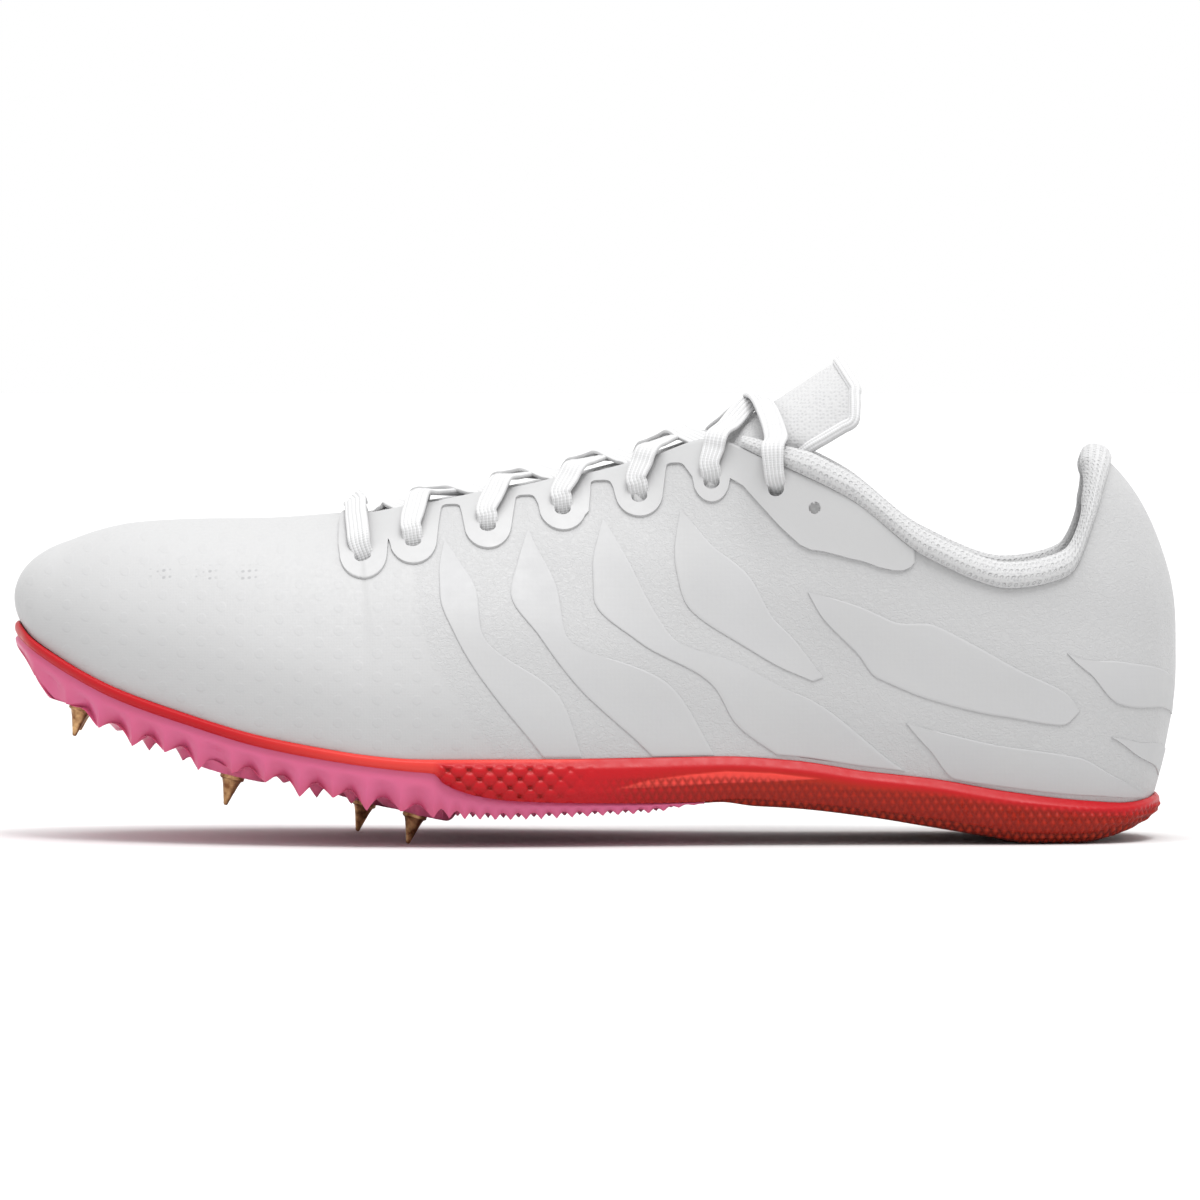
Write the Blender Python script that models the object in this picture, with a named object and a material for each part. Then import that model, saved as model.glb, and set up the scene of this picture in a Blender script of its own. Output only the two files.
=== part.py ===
"""Left track spike shoe: hollow upper, padded collar, tongue, lace, foam midsole, toothed plate and pins.

Metres, +Z up. The toe points along -Y, the heel along +Y and the outer side of the foot along +X.
The origin is on the ground under the middle of the shoe.
"""

import math
from collections import namedtuple

import bmesh
import bpy
import numpy as np
from mathutils import Vector
from mathutils.bvhtree import BVHTree

# Driving sizes
LENGTH = 0.284
BALL_WIDTH = 0.100
TOP_HEIGHT = 0.100
WALL = 0.0017
GAP = 0.0003
FILM = 0.0006
SOLE_MARGIN = 0.0012
INSOLE_THICKNESS = 0.0030
TONGUE_THICKNESS = 0.0028
ROLL_WIDTH = 0.0052
LINING_DEPTH = 0.024
LACE_WIDTH = 0.0050
LACE_THICKNESS = 0.0012
EYELET_WIDTH = 0.0040
EYELET_LENGTH = 0.0062
SCALLOP_WIDTH = 0.0116
SCALLOP_DEPTH = 0.0058
TAB_LIMIT = 0.48
SPARE_EYELET = 0.0030
TOOTH_HEIGHT = 0.0034
FINE_TOOTH_HEIGHT = 0.0013
TOOTH_PITCH = 0.0082
FINE_TOOTH_PITCH = 0.0060
PIN_HEIGHT = 0.00635
PIN_FLANGE = 0.0012
PIN_FLANGE_RADIUS = 0.0030
PIN_RADIUS = 0.0023
PIN_TIP_RADIUS = 0.0006
PIN_LEAN = math.radians(14)
BOSS_RADIUS = 0.0080
OUTSOLE_ROUND = 0.0030
SOLE_DISH = 0.0012
THINNEST = 0.0008

# Where things start and stop, as shares of the length from the toe
THROAT = 0.298
THROAT_ROW = 6
PLATE_END = 0.590
OUTSOLE_START = 0.600
NOSE = 0.364

# Steps between two rows of the upper's tables, and from its foot to its rim
STEPS_ROUND = 2
STEPS_UP = 5

# Stations of the sole's heel half
HEEL_STATIONS = 12

# Rows of the upper's tables between which the eyestay lies, and the one where the collar starts
EYESTAY_ROWS = (5, 16)
COLLAR_ROW = 12.5

# The sole edge that the upper stands on. place is a share of LENGTH from the toe, outer and
# inner are shares of BALL_WIDTH from the axis, and height is a share of TOP_HEIGHT.
Foot = namedtuple("Foot", "place outer inner height")
FOOT = [
    Foot(0.004, -0.080, -0.080, 0.529),
    Foot(0.014, 0.030, -0.195, 0.497),
    Foot(0.045, 0.130, -0.310, 0.441),
    Foot(0.090, 0.235, -0.390, 0.379),
    Foot(0.150, 0.325, -0.440, 0.321),
    Foot(0.220, 0.400, -0.465, 0.266),
    Foot(0.300, 0.450, -0.462, 0.226),
    Foot(0.322, 0.454, -0.457, 0.219),
    Foot(0.347, 0.456, -0.447, 0.214),
    Foot(0.380, 0.455, -0.432, 0.213),
    Foot(0.460, 0.430, -0.380, 0.213),
    Foot(0.540, 0.395, -0.330, 0.215),
    Foot(0.610, 0.365, -0.298, 0.217),
    Foot(0.670, 0.345, -0.285, 0.206),
    Foot(0.730, 0.330, -0.285, 0.180),
    Foot(0.790, 0.318, -0.290, 0.160),
    Foot(0.850, 0.305, -0.295, 0.130),
    Foot(0.910, 0.280, -0.280, 0.108),
    Foot(0.955, 0.222, -0.222, 0.098),
    Foot(0.977, 0.120, -0.120, 0.106),
    Foot(0.983, 0.000, 0.000, 0.112),
]

# The upper's top edge, row by row with FOOT: gap is half the opening, in shares of BALL_WIDTH.
Rim = namedtuple("Rim", "place gap height")
RIM = [
    Rim(0.045, 0.000, 0.727),
    Rim(0.051, 0.000, 0.733),
    Rim(0.066, 0.000, 0.748),
    Rim(0.102, 0.000, 0.770),
    Rim(0.155, 0.000, 0.779),
    Rim(0.222, 0.000, 0.786),
    Rim(THROAT, 0.000, 0.798),
    Rim(0.3015, 0.062, 0.792),
    Rim(0.325, 0.096, 0.804),
    Rim(0.375, 0.112, 0.832),
    Rim(0.452, 0.130, 0.873),
    Rim(0.530, 0.145, 0.920),
    Rim(0.600, 0.170, 0.980),
    Rim(0.655, 0.255, 0.926),
    Rim(0.718, 0.285, 0.842),
    Rim(0.785, 0.290, 0.698),
    Rim(0.855, 0.285, 0.624),
    Rim(0.905, 0.255, 0.654),
    Rim(0.928, 0.190, 0.790),
    Rim(0.939, 0.105, 0.895),
    Rim(0.943, 0.000, 0.925),
]

# How the wall swells between its foot and its rim, in shares of BALL_WIDTH: flare and rise of
# its lower half, reach and drop of its upper half.
Swell = namedtuple("Swell", "flare rise reach drop")
SWELL = [
    Swell(0.027, 0.054, 0.136, 0.044),
    Swell(0.027, 0.070, 0.150, 0.036),
    Swell(0.030, 0.120, 0.165, 0.024),
    Swell(0.034, 0.170, 0.200, 0.012),
    Swell(0.038, 0.215, 0.245, 0.006),
    Swell(0.042, 0.245, 0.285, 0.008),
    Swell(0.036, 0.260, 0.290, 0.018),
    Swell(0.032, 0.262, 0.262, 0.050),
    Swell(0.028, 0.266, 0.240, 0.070),
    Swell(0.022, 0.270, 0.220, 0.085),
    Swell(0.012, 0.280, 0.175, 0.115),
    Swell(0.010, 0.300, 0.140, 0.140),
    Swell(0.010, 0.300, 0.110, 0.175),
    Swell(0.014, 0.250, 0.050, 0.220),
    Swell(0.020, 0.220, 0.035, 0.200),
    Swell(0.025, 0.170, 0.030, 0.165),
    Swell(0.030, 0.160, 0.033, 0.155),
    Swell(0.035, 0.170, 0.042, 0.170),
    Swell(0.050, 0.200, 0.095, 0.190),
    Swell(0.065, 0.220, 0.175, 0.200),
    Swell(0.073, 0.225, 0.218, 0.200),
]

# The line that the vamp's ridge, the tongue and the opening follow, in shares of BALL_WIDTH
Ridge = namedtuple("Ridge", "place side")
RIDGE = [
    Ridge(0.000, -0.085),
    Ridge(0.100, -0.065),
    Ridge(0.300, -0.050),
    Ridge(0.450, -0.040),
    Ridge(0.600, -0.030),
    Ridge(0.700, -0.015),
    Ridge(0.800, -0.005),
    Ridge(1.000, 0.000),
]

# The sole in side view, in shares of TOP_HEIGHT: split is the underside of the foam, base the
# underside of plate and heel rubber without teeth, swell how far its side stands out.
Sole = namedtuple("Sole", "place split base swell")
SOLE = [
    Sole(0.000, 0.502, 0.475, 0.000),
    Sole(0.014, 0.471, 0.432, 0.002),
    Sole(0.045, 0.416, 0.352, 0.004),
    Sole(0.090, 0.354, 0.290, 0.005),
    Sole(0.150, 0.297, 0.238, 0.005),
    Sole(0.220, 0.241, 0.182, 0.005),
    Sole(0.300, 0.202, 0.135, 0.005),
    Sole(0.345, 0.187, 0.108, 0.005),
    Sole(NOSE, 0.182, 0.098, 0.007),
    Sole(0.372, 0.160, 0.094, 0.016),
    Sole(0.384, 0.143, 0.090, 0.020),
    Sole(0.405, 0.126, 0.086, 0.022),
    Sole(0.430, 0.116, 0.084, 0.022),
    Sole(0.480, 0.110, 0.087, 0.020),
    Sole(0.540, 0.108, 0.092, 0.018),
    Sole(PLATE_END, 0.110, 0.099, 0.016),
    Sole(0.620, 0.116, 0.096, 0.016),
    Sole(0.670, 0.108, 0.088, 0.016),
    Sole(0.730, 0.090, 0.068, 0.016),
    Sole(0.790, 0.067, 0.040, 0.016),
    Sole(0.840, 0.043, 0.016, 0.018),
    Sole(0.874, 0.030, 0.000, 0.020),
    Sole(0.914, 0.028, 0.000, 0.020),
    Sole(0.955, 0.046, 0.024, 0.012),
    Sole(0.977, 0.066, 0.050, 0.004),
    Sole(1.000, 0.082, 0.074, 0.000),
]

# The tongue along its middle. height and radius are shares of TOP_HEIGHT, span the half width
# along its arc in shares of BALL_WIDTH, pad a share of TONGUE_THICKNESS.
Flap = namedtuple("Flap", "place height span radius pad")
TONGUE = [
    Flap(0.285, 0.752, 0.12, 0.60, 0.50),
    Flap(0.340, 0.795, 0.20, 0.46, 0.60),
    Flap(0.400, 0.838, 0.24, 0.40, 0.70),
    Flap(0.460, 0.878, 0.27, 0.37, 0.80),
    Flap(0.520, 0.920, 0.29, 0.34, 0.90),
    Flap(0.580, 0.972, 0.29, 0.31, 1.00),
    Flap(0.630, 1.030, 0.28, 0.28, 1.15),
    Flap(0.670, 1.095, 0.28, 0.27, 1.25),
    Flap(0.695, 1.142, 0.28, 0.26, 1.20),
    Flap(0.710, 1.168, 0.20, 0.26, 0.90),
]

# Eyelets on the outer side, toe to ankle, in shares of TOP_HEIGHT: height of the centre and of
# the eyestay's tab that stands up behind it
Eyelet = namedtuple("Eyelet", "place height tab laced")
EYELETS = [
    Eyelet(0.3030, 0.700, 0.738, True),
    Eyelet(0.3455, 0.737, 0.815, True),
    Eyelet(0.4095, 0.772, 0.838, True),
    Eyelet(0.4735, 0.815, 0.876, True),
    Eyelet(0.5390, 0.850, 0.918, True),
    Eyelet(0.6010, 0.884, 0.866, True),
    Eyelet(0.6560, 0.872, 0.000, True),
    Eyelet(0.6890, 0.815, 0.000, False),
]

# The eyestay's lower edge ahead of the first scallop and behind the last one
Edge = namedtuple("Edge", "place height")
EYESTAY_TOE = [
    Edge(0.2805, 0.770),
    Edge(0.2815, 0.722),
]
EYESTAY_HEEL = [
    Edge(0.6480, 0.805),
    Edge(0.6760, 0.726),
    Edge(0.6950, 0.710),
    Edge(0.7430, 0.672),
    Edge(0.7640, 0.662),
    Edge(0.7740, 0.684),
]

# Pins: tip place and height, side is a share of BALL_WIDTH
Pin = namedtuple("Pin", "name place side tip")
PINS = [
    Pin("spike_toe_outer", 0.053, 0.070, 0.252),
    Pin("spike_toe_inner", 0.053, -0.240, 0.252),
    Pin("spike_front_outer", 0.185, 0.260, 0.093),
    Pin("spike_front_inner", 0.185, -0.290, 0.093),
    Pin("spike_rear_outer", 0.341, 0.270, 0.000),
    Pin("spike_rear_inner", 0.294, -0.290, 0.000),
]

# Colour, roughness and metallic value of each material
Finish = namedtuple("Finish", "colour roughness metallic")
FINISHES = {
    "mesh_white": Finish((0.86, 0.86, 0.87), 0.75, 0.0),
    "film_white": Finish((0.90, 0.90, 0.91), 0.45, 0.0),
    "knit_white": Finish((0.84, 0.84, 0.85), 0.90, 0.0),
    "lace_white": Finish((0.92, 0.92, 0.92), 0.85, 0.0),
    "insole_grey": Finish((0.55, 0.55, 0.57), 0.90, 0.0),
    "foam_red": Finish((0.78, 0.05, 0.07), 0.45, 0.0),
    "rubber_orange": Finish((0.66, 0.06, 0.02), 0.55, 0.0),
    "plate_pink": Finish((0.72, 0.12, 0.29), 0.40, 0.0),
    "pin_bronze": Finish((0.45, 0.24, 0.09), 0.35, 0.9),
}


def clear_scene():
    """Start from an empty file."""
    for thing in list(bpy.data.objects):
        bpy.data.objects.remove(thing, do_unlink=True)


def material(name):
    """The Principled material of that name."""
    if name in bpy.data.materials:
        return bpy.data.materials[name]
    finish = FINISHES[name]
    made = bpy.data.materials.new(name)
    made.use_nodes = True
    shader = made.node_tree.nodes["Principled BSDF"]
    shader.inputs["Base Color"].default_value = (*finish.colour, 1.0)
    shader.inputs["Roughness"].default_value = finish.roughness
    shader.inputs["Metallic"].default_value = finish.metallic
    return made


def solid(name, points, faces, slot):
    """One closed body from points and faces, its faces turned outward. They become triangles here,
    so that a neighbour fitted to them meets the same facets."""
    mesh = bpy.data.meshes.new(name)
    mesh.from_pydata([tuple(p) for p in points], [], faces)
    bm = bmesh.new()
    bm.from_mesh(mesh)
    bmesh.ops.recalc_face_normals(bm, faces=bm.faces)
    bmesh.ops.triangulate(bm, faces=bm.faces)
    bm.to_mesh(mesh)
    bm.free()
    mesh.materials.append(material(slot))
    mesh.shade_smooth()
    mesh.set_sharp_from_angle(angle=math.radians(40))
    made = bpy.data.objects.new(name, mesh)
    bpy.context.collection.objects.link(made)
    return made


def combine(target, other, operation):
    """Cut other from target or join it on, and drop other."""
    modifier = target.modifiers.new(operation.lower(), "BOOLEAN")
    modifier.operation = operation
    modifier.solver = "MANIFOLD"
    modifier.object = other
    bpy.context.view_layer.update()
    shape = bpy.data.meshes.new_from_object(target.evaluated_get(bpy.context.evaluated_depsgraph_get()))
    target.modifiers.clear()
    old = target.data
    target.data = shape
    shape.name = target.name
    bpy.data.meshes.remove(old)
    bpy.data.objects.remove(other, do_unlink=True)


class Curve:
    """A smooth curve through rows that never overshoots between two of them."""

    def __init__(self, places, rows):
        self.places = np.array(places, float)
        self.rows = np.array(rows, float).reshape(len(places), -1)
        step = np.diff(self.places)[:, None]
        secant = np.diff(self.rows, axis=0) / step
        before, after = secant[:-1], secant[1:]
        self.slopes = np.zeros_like(self.rows)
        rising = before * after > 0
        inner = np.zeros_like(before)
        inner[rising] = 2 * before[rising] * after[rising] / (before[rising] + after[rising])
        self.slopes[1:-1] = inner
        self.slopes[0], self.slopes[-1] = secant[0], secant[-1]

    def __call__(self, place):
        k = int(np.clip(np.searchsorted(self.places, place, side="right") - 1, 0, len(self.places) - 2))
        step = self.places[k + 1] - self.places[k]
        f = float(np.clip((place - self.places[k]) / step, 0.0, 1.0))
        h00, h10 = (1 + 2 * f) * (1 - f) ** 2, f * (1 - f) ** 2
        h01, h11 = f * f * (3 - 2 * f), f * f * (f - 1)
        return (h00 * self.rows[k] + h10 * step * self.slopes[k]
                + h01 * self.rows[k + 1] + h11 * step * self.slopes[k + 1])


def unit(vector):
    """The vector at length one."""
    return vector / np.linalg.norm(vector)


def along(place):
    """Y of a share of the length from the toe."""
    return (place - 0.5) * LENGTH


def share_of(y):
    """Share of the length from the toe at Y."""
    return y / LENGTH + 0.5


ridge_curve = Curve([r.place for r in RIDGE], [r.side for r in RIDGE])
sole_curve = Curve([s.place for s in SOLE], [s[1:] for s in SOLE])


def ridge_side(place):
    """X of the ridge line."""
    return float(ridge_curve(place)[0]) * BALL_WIDTH


class Last:
    """The upper's outer surface: place walks toe, outer side, heel, inner side and back to the toe,
    one unit a row, and rise goes from the foot (0) to the rim (1)."""

    def __init__(self):
        self.count = len(FOOT) - 1
        rows = [self.row(k, 1) for k in range(self.count + 1)]
        rows += [self.row(k, -1) for k in range(self.count - 1, 0, -1)]
        self.turn = len(rows)
        ring = rows[-3:] + rows + rows[:4]
        self.curve = Curve(range(-3, self.turn + 4), ring)

    def row(self, k, side):
        foot, rim, swell = FOOT[k], RIM[k], SWELL[k]
        x = (foot.outer if side > 0 else foot.inner) * BALL_WIDTH
        rim_x = ridge_side(rim.place) + side * rim.gap * BALL_WIDTH
        return [x, along(foot.place), foot.height * TOP_HEIGHT,
                rim_x, along(rim.place), rim.height * TOP_HEIGHT,
                *(value * BALL_WIDTH for value in swell)]

    def outward(self, place):
        """Unit vector away from the shoe, seen from above."""
        ahead, behind = self.curve(place + 0.1), self.curve(place - 0.1)
        away = np.array([ahead[1] - behind[1], behind[0] - ahead[0], 0.0])
        return away / np.linalg.norm(away)

    def point(self, place, rise):
        place = place % self.turn
        row = self.curve(place)
        foot, rim = row[0:3], row[3:6]
        flare, lift, reach, drop = row[6:10]
        away = self.outward(place)
        over = away * np.array([3.0 if foot[1] < 0 else 1.0, 1.0, 1.0])
        over = over / np.linalg.norm(over)
        up = np.array([0.0, 0.0, 1.0])
        low = foot + away * flare + up * lift
        high = rim + over * reach - up * drop
        r, s = rise, 1 - rise
        return s ** 3 * foot + 3 * s * s * r * low + 3 * s * r * r * high + r ** 3 * rim

    def normal(self, place, rise):
        around = self.point(place + 0.04, rise) - self.point(place - 0.04, rise)
        upward = self.point(place, min(rise + 0.02, 1.0)) - self.point(place, max(rise - 0.02, 0.0))
        out = np.cross(around, upward)
        return out / np.linalg.norm(out)

    def lifted(self, place, rise, height):
        """A point that far outside the surface, or inside it where height is negative."""
        return self.point(place, rise) + self.normal(place, rise) * height

    def find(self, share, height):
        """Place and rise of the outer side's point at that share of the length and that height."""
        goal = np.array([along(share), height * TOP_HEIGHT])
        best = min(((float(np.hypot(*(self.point(p, r)[1:3] - goal))), p, r)
                    for p in np.arange(1.0, self.count, 0.25) for r in np.arange(0.2, 1.0, 0.05)))
        place, rise = best[1], best[2]
        for _ in range(12):
            here = self.point(place, rise)[1:3]
            by_place = (self.point(place + 0.01, rise)[1:3] - here) / 0.01
            by_rise = (self.point(place, rise + 0.01)[1:3] - here) / 0.01
            move = np.linalg.lstsq(np.array([by_place, by_rise]).T, goal - here, rcond=None)[0]
            place += float(np.clip(move[0], -0.3, 0.3))
            rise = float(np.clip(rise + np.clip(move[1], -0.1, 0.1), 0.05, 0.985))
        return place, rise

    def mirrored(self, place):
        """The same place on the other side."""
        return self.turn - place


def outer_skin(last):
    """The upper's outer surface as triangles, and its vertices column by column, foot to rim."""
    count = last.turn * STEPS_ROUND
    bm = bmesh.new()
    grid = []
    throat = STEPS_ROUND * THROAT_ROW
    for i in range(count):
        column = []
        for j in range(STEPS_UP + 1):
            twin = count - i
            welded = j == STEPS_UP and twin < i and twin <= throat
            column.append(grid[twin][j] if welded else bm.verts.new(last.point(i / STEPS_ROUND, j / STEPS_UP)))
        grid.append(column)
    for i in range(count):
        right = grid[(i + 1) % count]
        for j in range(STEPS_UP):
            corners = [grid[i][j], right[j], right[j + 1], grid[i][j + 1]]
            bm.faces.new(corners)
    bmesh.ops.recalc_face_normals(bm, faces=bm.faces)
    bmesh.ops.triangulate(bm, faces=bm.faces)
    bm.normal_update()
    return bm, grid


def make_upper(last):
    """The hollow upper: its outer surface, an inner one a wall inside it and the two edges between."""
    bm, grid = outer_skin(last)
    feet = {column[0] for column in grid}
    outer_faces = list(bm.faces)
    inner = {}
    for v in list(bm.verts):
        spot = v.co - v.normal * WALL * min(v.calc_shell_factor(), 1.4)
        if v in feet:
            spot.z = v.co.z
        inner[v] = bm.verts.new(spot)
    open_edges = [e for e in bm.edges if e.is_boundary]
    inner_faces = [[inner[v] for v in reversed(f.verts)] for f in outer_faces]
    for corners in inner_faces:
        bm.faces.new(corners)
    for e in open_edges:
        a, b = e.verts
        bm.faces.new([a, b, inner[b], inner[a]])
    bmesh.ops.recalc_face_normals(bm, faces=bm.faces)
    bmesh.ops.triangulate(bm, faces=bm.faces)
    mesh = bpy.data.meshes.new("upper")
    bm.to_mesh(mesh)
    bm.free()
    mesh.materials.append(material("mesh_white"))
    mesh.shade_smooth()
    mesh.set_sharp_from_angle(angle=math.radians(50))
    upper = bpy.data.objects.new("upper", mesh)
    bpy.context.collection.objects.link(upper)
    return upper


def eyelet_cutter(last, place, rise, width, length):
    """A prism with round ends through the wall at one eyelet, its length along the wall's rise."""
    centre = last.point(place, rise)
    out = last.normal(place, rise)
    upward = last.point(place, rise + 0.02) - last.point(place, rise - 0.02)
    upward = upward / np.linalg.norm(upward)
    sideways = np.cross(out, upward)
    radius = width / 2
    straight = (length - width) / 2
    outline = []
    for k in range(8):
        angle = 2 * math.pi * (k + 0.5) / 8
        shift = straight if math.sin(angle) > 0 else -straight
        outline.append((radius * math.cos(angle), radius * math.sin(angle) + shift))
    reach = 3 * WALL
    points = [centre + sideways * a + upward * b + out * side
              for side in (-reach, reach) for a, b in outline]
    n = len(outline)
    faces = [[k, (k + 1) % n, n + (k + 1) % n, n + k] for k in range(n)]
    faces += [list(range(n)), list(range(n, 2 * n))]
    return solid("cutter", points, faces, "mesh_white")


def eyelet_places(last):
    """Place, rise and lacing of every eyelet, both sides."""
    found = []
    for eyelet in EYELETS:
        place, rise = last.find(eyelet.place, eyelet.height)
        found.append((place, rise, eyelet.laced))
    return found


def pierce(last, target, found, sides):
    """Cut the eyelets through a piece."""
    for side in sides:
        for place, rise, laced in found:
            spot = place if side > 0 else last.mirrored(place)
            width = EYELET_WIDTH if laced else SPARE_EYELET
            length = EYELET_LENGTH if laced else SPARE_EYELET
            combine(target, eyelet_cutter(last, spot, rise, width, length), "DIFFERENCE")


def scallops():
    """The eyestay's lower edge, toe to ankle: a half ellipse under each laced eyelet, a tab between."""
    edge = list(EYESTAY_TOE)
    laced = [eyelet for eyelet in EYELETS if eyelet.tab]
    deep = SCALLOP_DEPTH / TOP_HEIGHT
    pitches = [after.place - before.place for before, after in zip(EYELETS, EYELETS[1:])]
    for k, (eyelet, following) in enumerate(zip(laced, EYELETS[1:])):
        pitch = pitches[k]
        half = min(SCALLOP_WIDTH / 2 / LENGTH, TAB_LIMIT * min(pitches[max(k - 1, 0):k + 2]))
        for step in range(5):
            angle = math.pi * (1 + step / 4)
            edge.append(Edge(eyelet.place + half * math.cos(angle),
                             eyelet.height + deep * math.sin(angle)))
        room = pitch - 2 * half
        if following.tab and room > 0.2 * pitch:
            edge.append(Edge(eyelet.place + half + room * 0.22, eyelet.tab))
            edge.append(Edge(eyelet.place + half + room * 0.78, eyelet.tab))
        else:
            edge.append(Edge(eyelet.place + half + room * 0.5, eyelet.tab))
    return edge + EYESTAY_HEEL


def make_eyestay(last, side):
    """The film round the eyelets: a skin over the upper's own facets, cut to a scalloped outline."""
    bm, grid = outer_skin(last)
    columns = range(STEPS_ROUND * EYESTAY_ROWS[0], STEPS_ROUND * EYESTAY_ROWS[1] + 1)
    taken = {v for i in columns for v in grid[side * i][STEPS_UP // 2:]}
    middle = ridge_side(THROAT)
    spots = {v: (v.co + v.normal * v.calc_shell_factor() * GAP,
                 v.co + v.normal * v.calc_shell_factor() * (GAP + FILM)) for v in taken}
    kept = [f for f in bm.faces if taken.issuperset(f.verts)]
    names = {v: k for k, v in enumerate(dict.fromkeys(v for f in kept for v in f.verts))}
    n = len(names)
    points = [spots[v][layer] for layer in (0, 1) for v in names]
    faces = [[names[v] + layer * n for v in f.verts] for layer in (0, 1) for f in kept]
    kept = set(kept)
    for e in bm.edges:
        if len(kept.intersection(e.link_faces)) == 1:
            a, b = (names[v] for v in e.verts)
            faces.append([a, b, b + n, a + n])
    bm.free()
    name = "eyestay_outer" if side > 0 else "eyestay_inner"
    film = solid(name, points, faces, "film_white")
    outline = [(along(edge.place), edge.height * TOP_HEIGHT) for edge in scallops()]
    outline += [(outline[-1][0], 1.5 * TOP_HEIGHT), (outline[0][0], 1.5 * TOP_HEIGHT)]
    beside = (middle + side * 2 * GAP, side * BALL_WIDTH)
    points = [(x, y, z) for x in beside for y, z in outline]
    count = len(outline)
    faces = [[k, (k + 1) % count, (k + 1) % count + count, k + count] for k in range(count)]
    faces += [list(range(count)), list(range(count, 2 * count))]
    combine(film, solid("cutter", points, faces, "film_white"), "INTERSECT")
    return film


def skin_faces(n, m):
    """Faces of a thin skin: two grids of n by m points, one after the other, and the rim between."""
    faces = []
    for layer in (0, n * m):
        for i in range(n - 1):
            for j in range(m - 1):
                a = layer + i * m + j
                faces.append([a, a + m, a + m + 1, a + 1])
    rim = [i * m for i in range(n)] + [(n - 1) * m + j for j in range(1, m)]
    rim += [i * m + m - 1 for i in range(n - 2, -1, -1)] + list(range(m - 2, 0, -1))
    for k, a in enumerate(rim):
        b = rim[(k + 1) % len(rim)]
        faces.append([a, b, b + n * m, a + n * m])
    return faces


def kept_clear(tree, spot, away, need):
    """Move a point along one direction until it is that far from the tree's faces."""
    for _ in range(6):
        distance = tree.find_nearest(Vector(spot))[3]
        if distance is None or distance >= need:
            break
        spot = spot + away * (need - distance + GAP / 6)
    return spot


def make_collar(last, wall):
    """The padded roll round the ankle with the lining that hangs from it inside the wall.
    It starts thin under the top crossing and is full two stations on."""
    r = ROLL_WIDTH / 2
    seam = 4 * GAP
    # up the wall, outward from it
    section = [
        (GAP, 0.15 * r),
        (0.9 * r, 0.42 * r),
        (1.75 * r, -0.05 * r),
        (2.1 * r, -0.75 * r),
        (1.8 * r, -1.6 * r),
        (0.6 * r, -2.1 * r),
        (-0.35 * LINING_DEPTH, -1.9 * r),
        (-LINING_DEPTH, -WALL - 2 * GAP - 0.4 * r),
        (-LINING_DEPTH, -WALL - 2 * GAP),
        (-0.5 * LINING_DEPTH, -WALL - 2 * GAP),
        (-0.2 * LINING_DEPTH, -WALL - 4 * GAP),
        (seam, -WALL - 4 * GAP),
    ]
    count = round((last.turn - 2 * COLLAR_ROW) * STEPS_ROUND)
    points = []
    for i in range(count + 1):
        place = COLLAR_ROW + i / STEPS_ROUND
        rim = last.point(place, 1.0)
        out = last.normal(place, 0.98)
        wall_up = last.point(place, 1.0) - last.point(place, 0.96)
        wall_up = wall_up / np.linalg.norm(wall_up)
        length = np.linalg.norm(last.point(place, 1.0) - last.point(place, 0.5)) * 2
        full = min(1.0, 0.5 + 0.25 * min(i, count - i))
        for up, outward in section:
            if up > seam:
                points.append(rim + wall_up * up * full + out * outward * full)
            elif up > 0:
                point = rim + wall_up * up + out * (outward * full if outward > 0 else outward)
                points.append(kept_clear(wall, point, wall_up - out * (outward < 0), 2 * GAP))
            else:
                rise = 1.0 + up * full / length
                out_here = last.normal(place, rise)
                layer = -WALL - 2 * GAP
                thick = outward if outward > layer else layer + (outward - layer) * full
                point = last.point(place, rise) + out_here * thick
                points.append(pulled_in(wall, point, out_here, 3 * GAP))
    n = len(section)
    faces = []
    for i in range(count):
        for k in range(n):
            a, b = i * n + k, i * n + (k + 1) % n
            faces.append([a, b, b + n, a + n])
    end = count * n
    faces += [list(range(n)), list(range(end, end + n))]
    return solid("collar", points, faces, "knit_white")


def make_tongue(around):
    """The curved tongue: arcs square to its middle line, kept clear of the wall and collar outside it."""
    curve = Curve([t.place for t in TONGUE], [t[1:] for t in TONGUE])
    first, last_place = TONGUE[0].place, TONGUE[-1].place
    rows, across = 15, 6
    side = np.array([1.0, 0.0, 0.0])
    points = []
    for layer in (0, 1):
        for i in range(rows + 1):
            place = first + (last_place - first) * math.sin(0.5 * math.pi * i / rows) ** 1.15
            height, span, radius, pad = curve(place)
            ahead, behind = curve(place + 0.004), curve(place - 0.004)
            step = min(place + 0.004, last_place) - max(place - 0.004, first)
            run = np.array([0.0, step * LENGTH, (ahead[0] - behind[0]) * TOP_HEIGHT])
            run = run / np.linalg.norm(run)
            lift = np.array([0.0, -run[2], run[1]])
            middle = np.array([ridge_side(place), along(place), height * TOP_HEIGHT])
            bend = radius * TOP_HEIGHT
            thick = TONGUE_THICKNESS * pad
            for k in range(across + 1):
                f = 2 * k / across - 1
                angle = f * span * BALL_WIDTH / bend
                out = side * math.sin(angle) + lift * math.cos(angle)
                r = bend - (1 - layer) * thick * (1 - 0.45 * f ** 4)
                spot = middle + out * r - lift * bend
                need = 3 * GAP + (1 - layer) * thick * 0.5
                points.append(kept_clear(around, pulled_in(around, spot, out, need), -out, need))
    return solid("tongue", points, skin_faces(rows + 1, across + 1), "knit_white")


def pulled_in(tree, spot, out, need):
    """Draw a point inward until what lies over it is that far away."""
    start = spot - out * 0.2 * TOP_HEIGHT
    hit, normal, _, distance = tree.ray_cast(Vector(start), Vector(out), 0.23 * TOP_HEIGHT)
    if hit is None:
        return spot
    facing = max(abs(float(np.dot(np.array(normal), out))), 0.4)
    return start + out * min(0.2 * TOP_HEIGHT, distance - need / facing)


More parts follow.
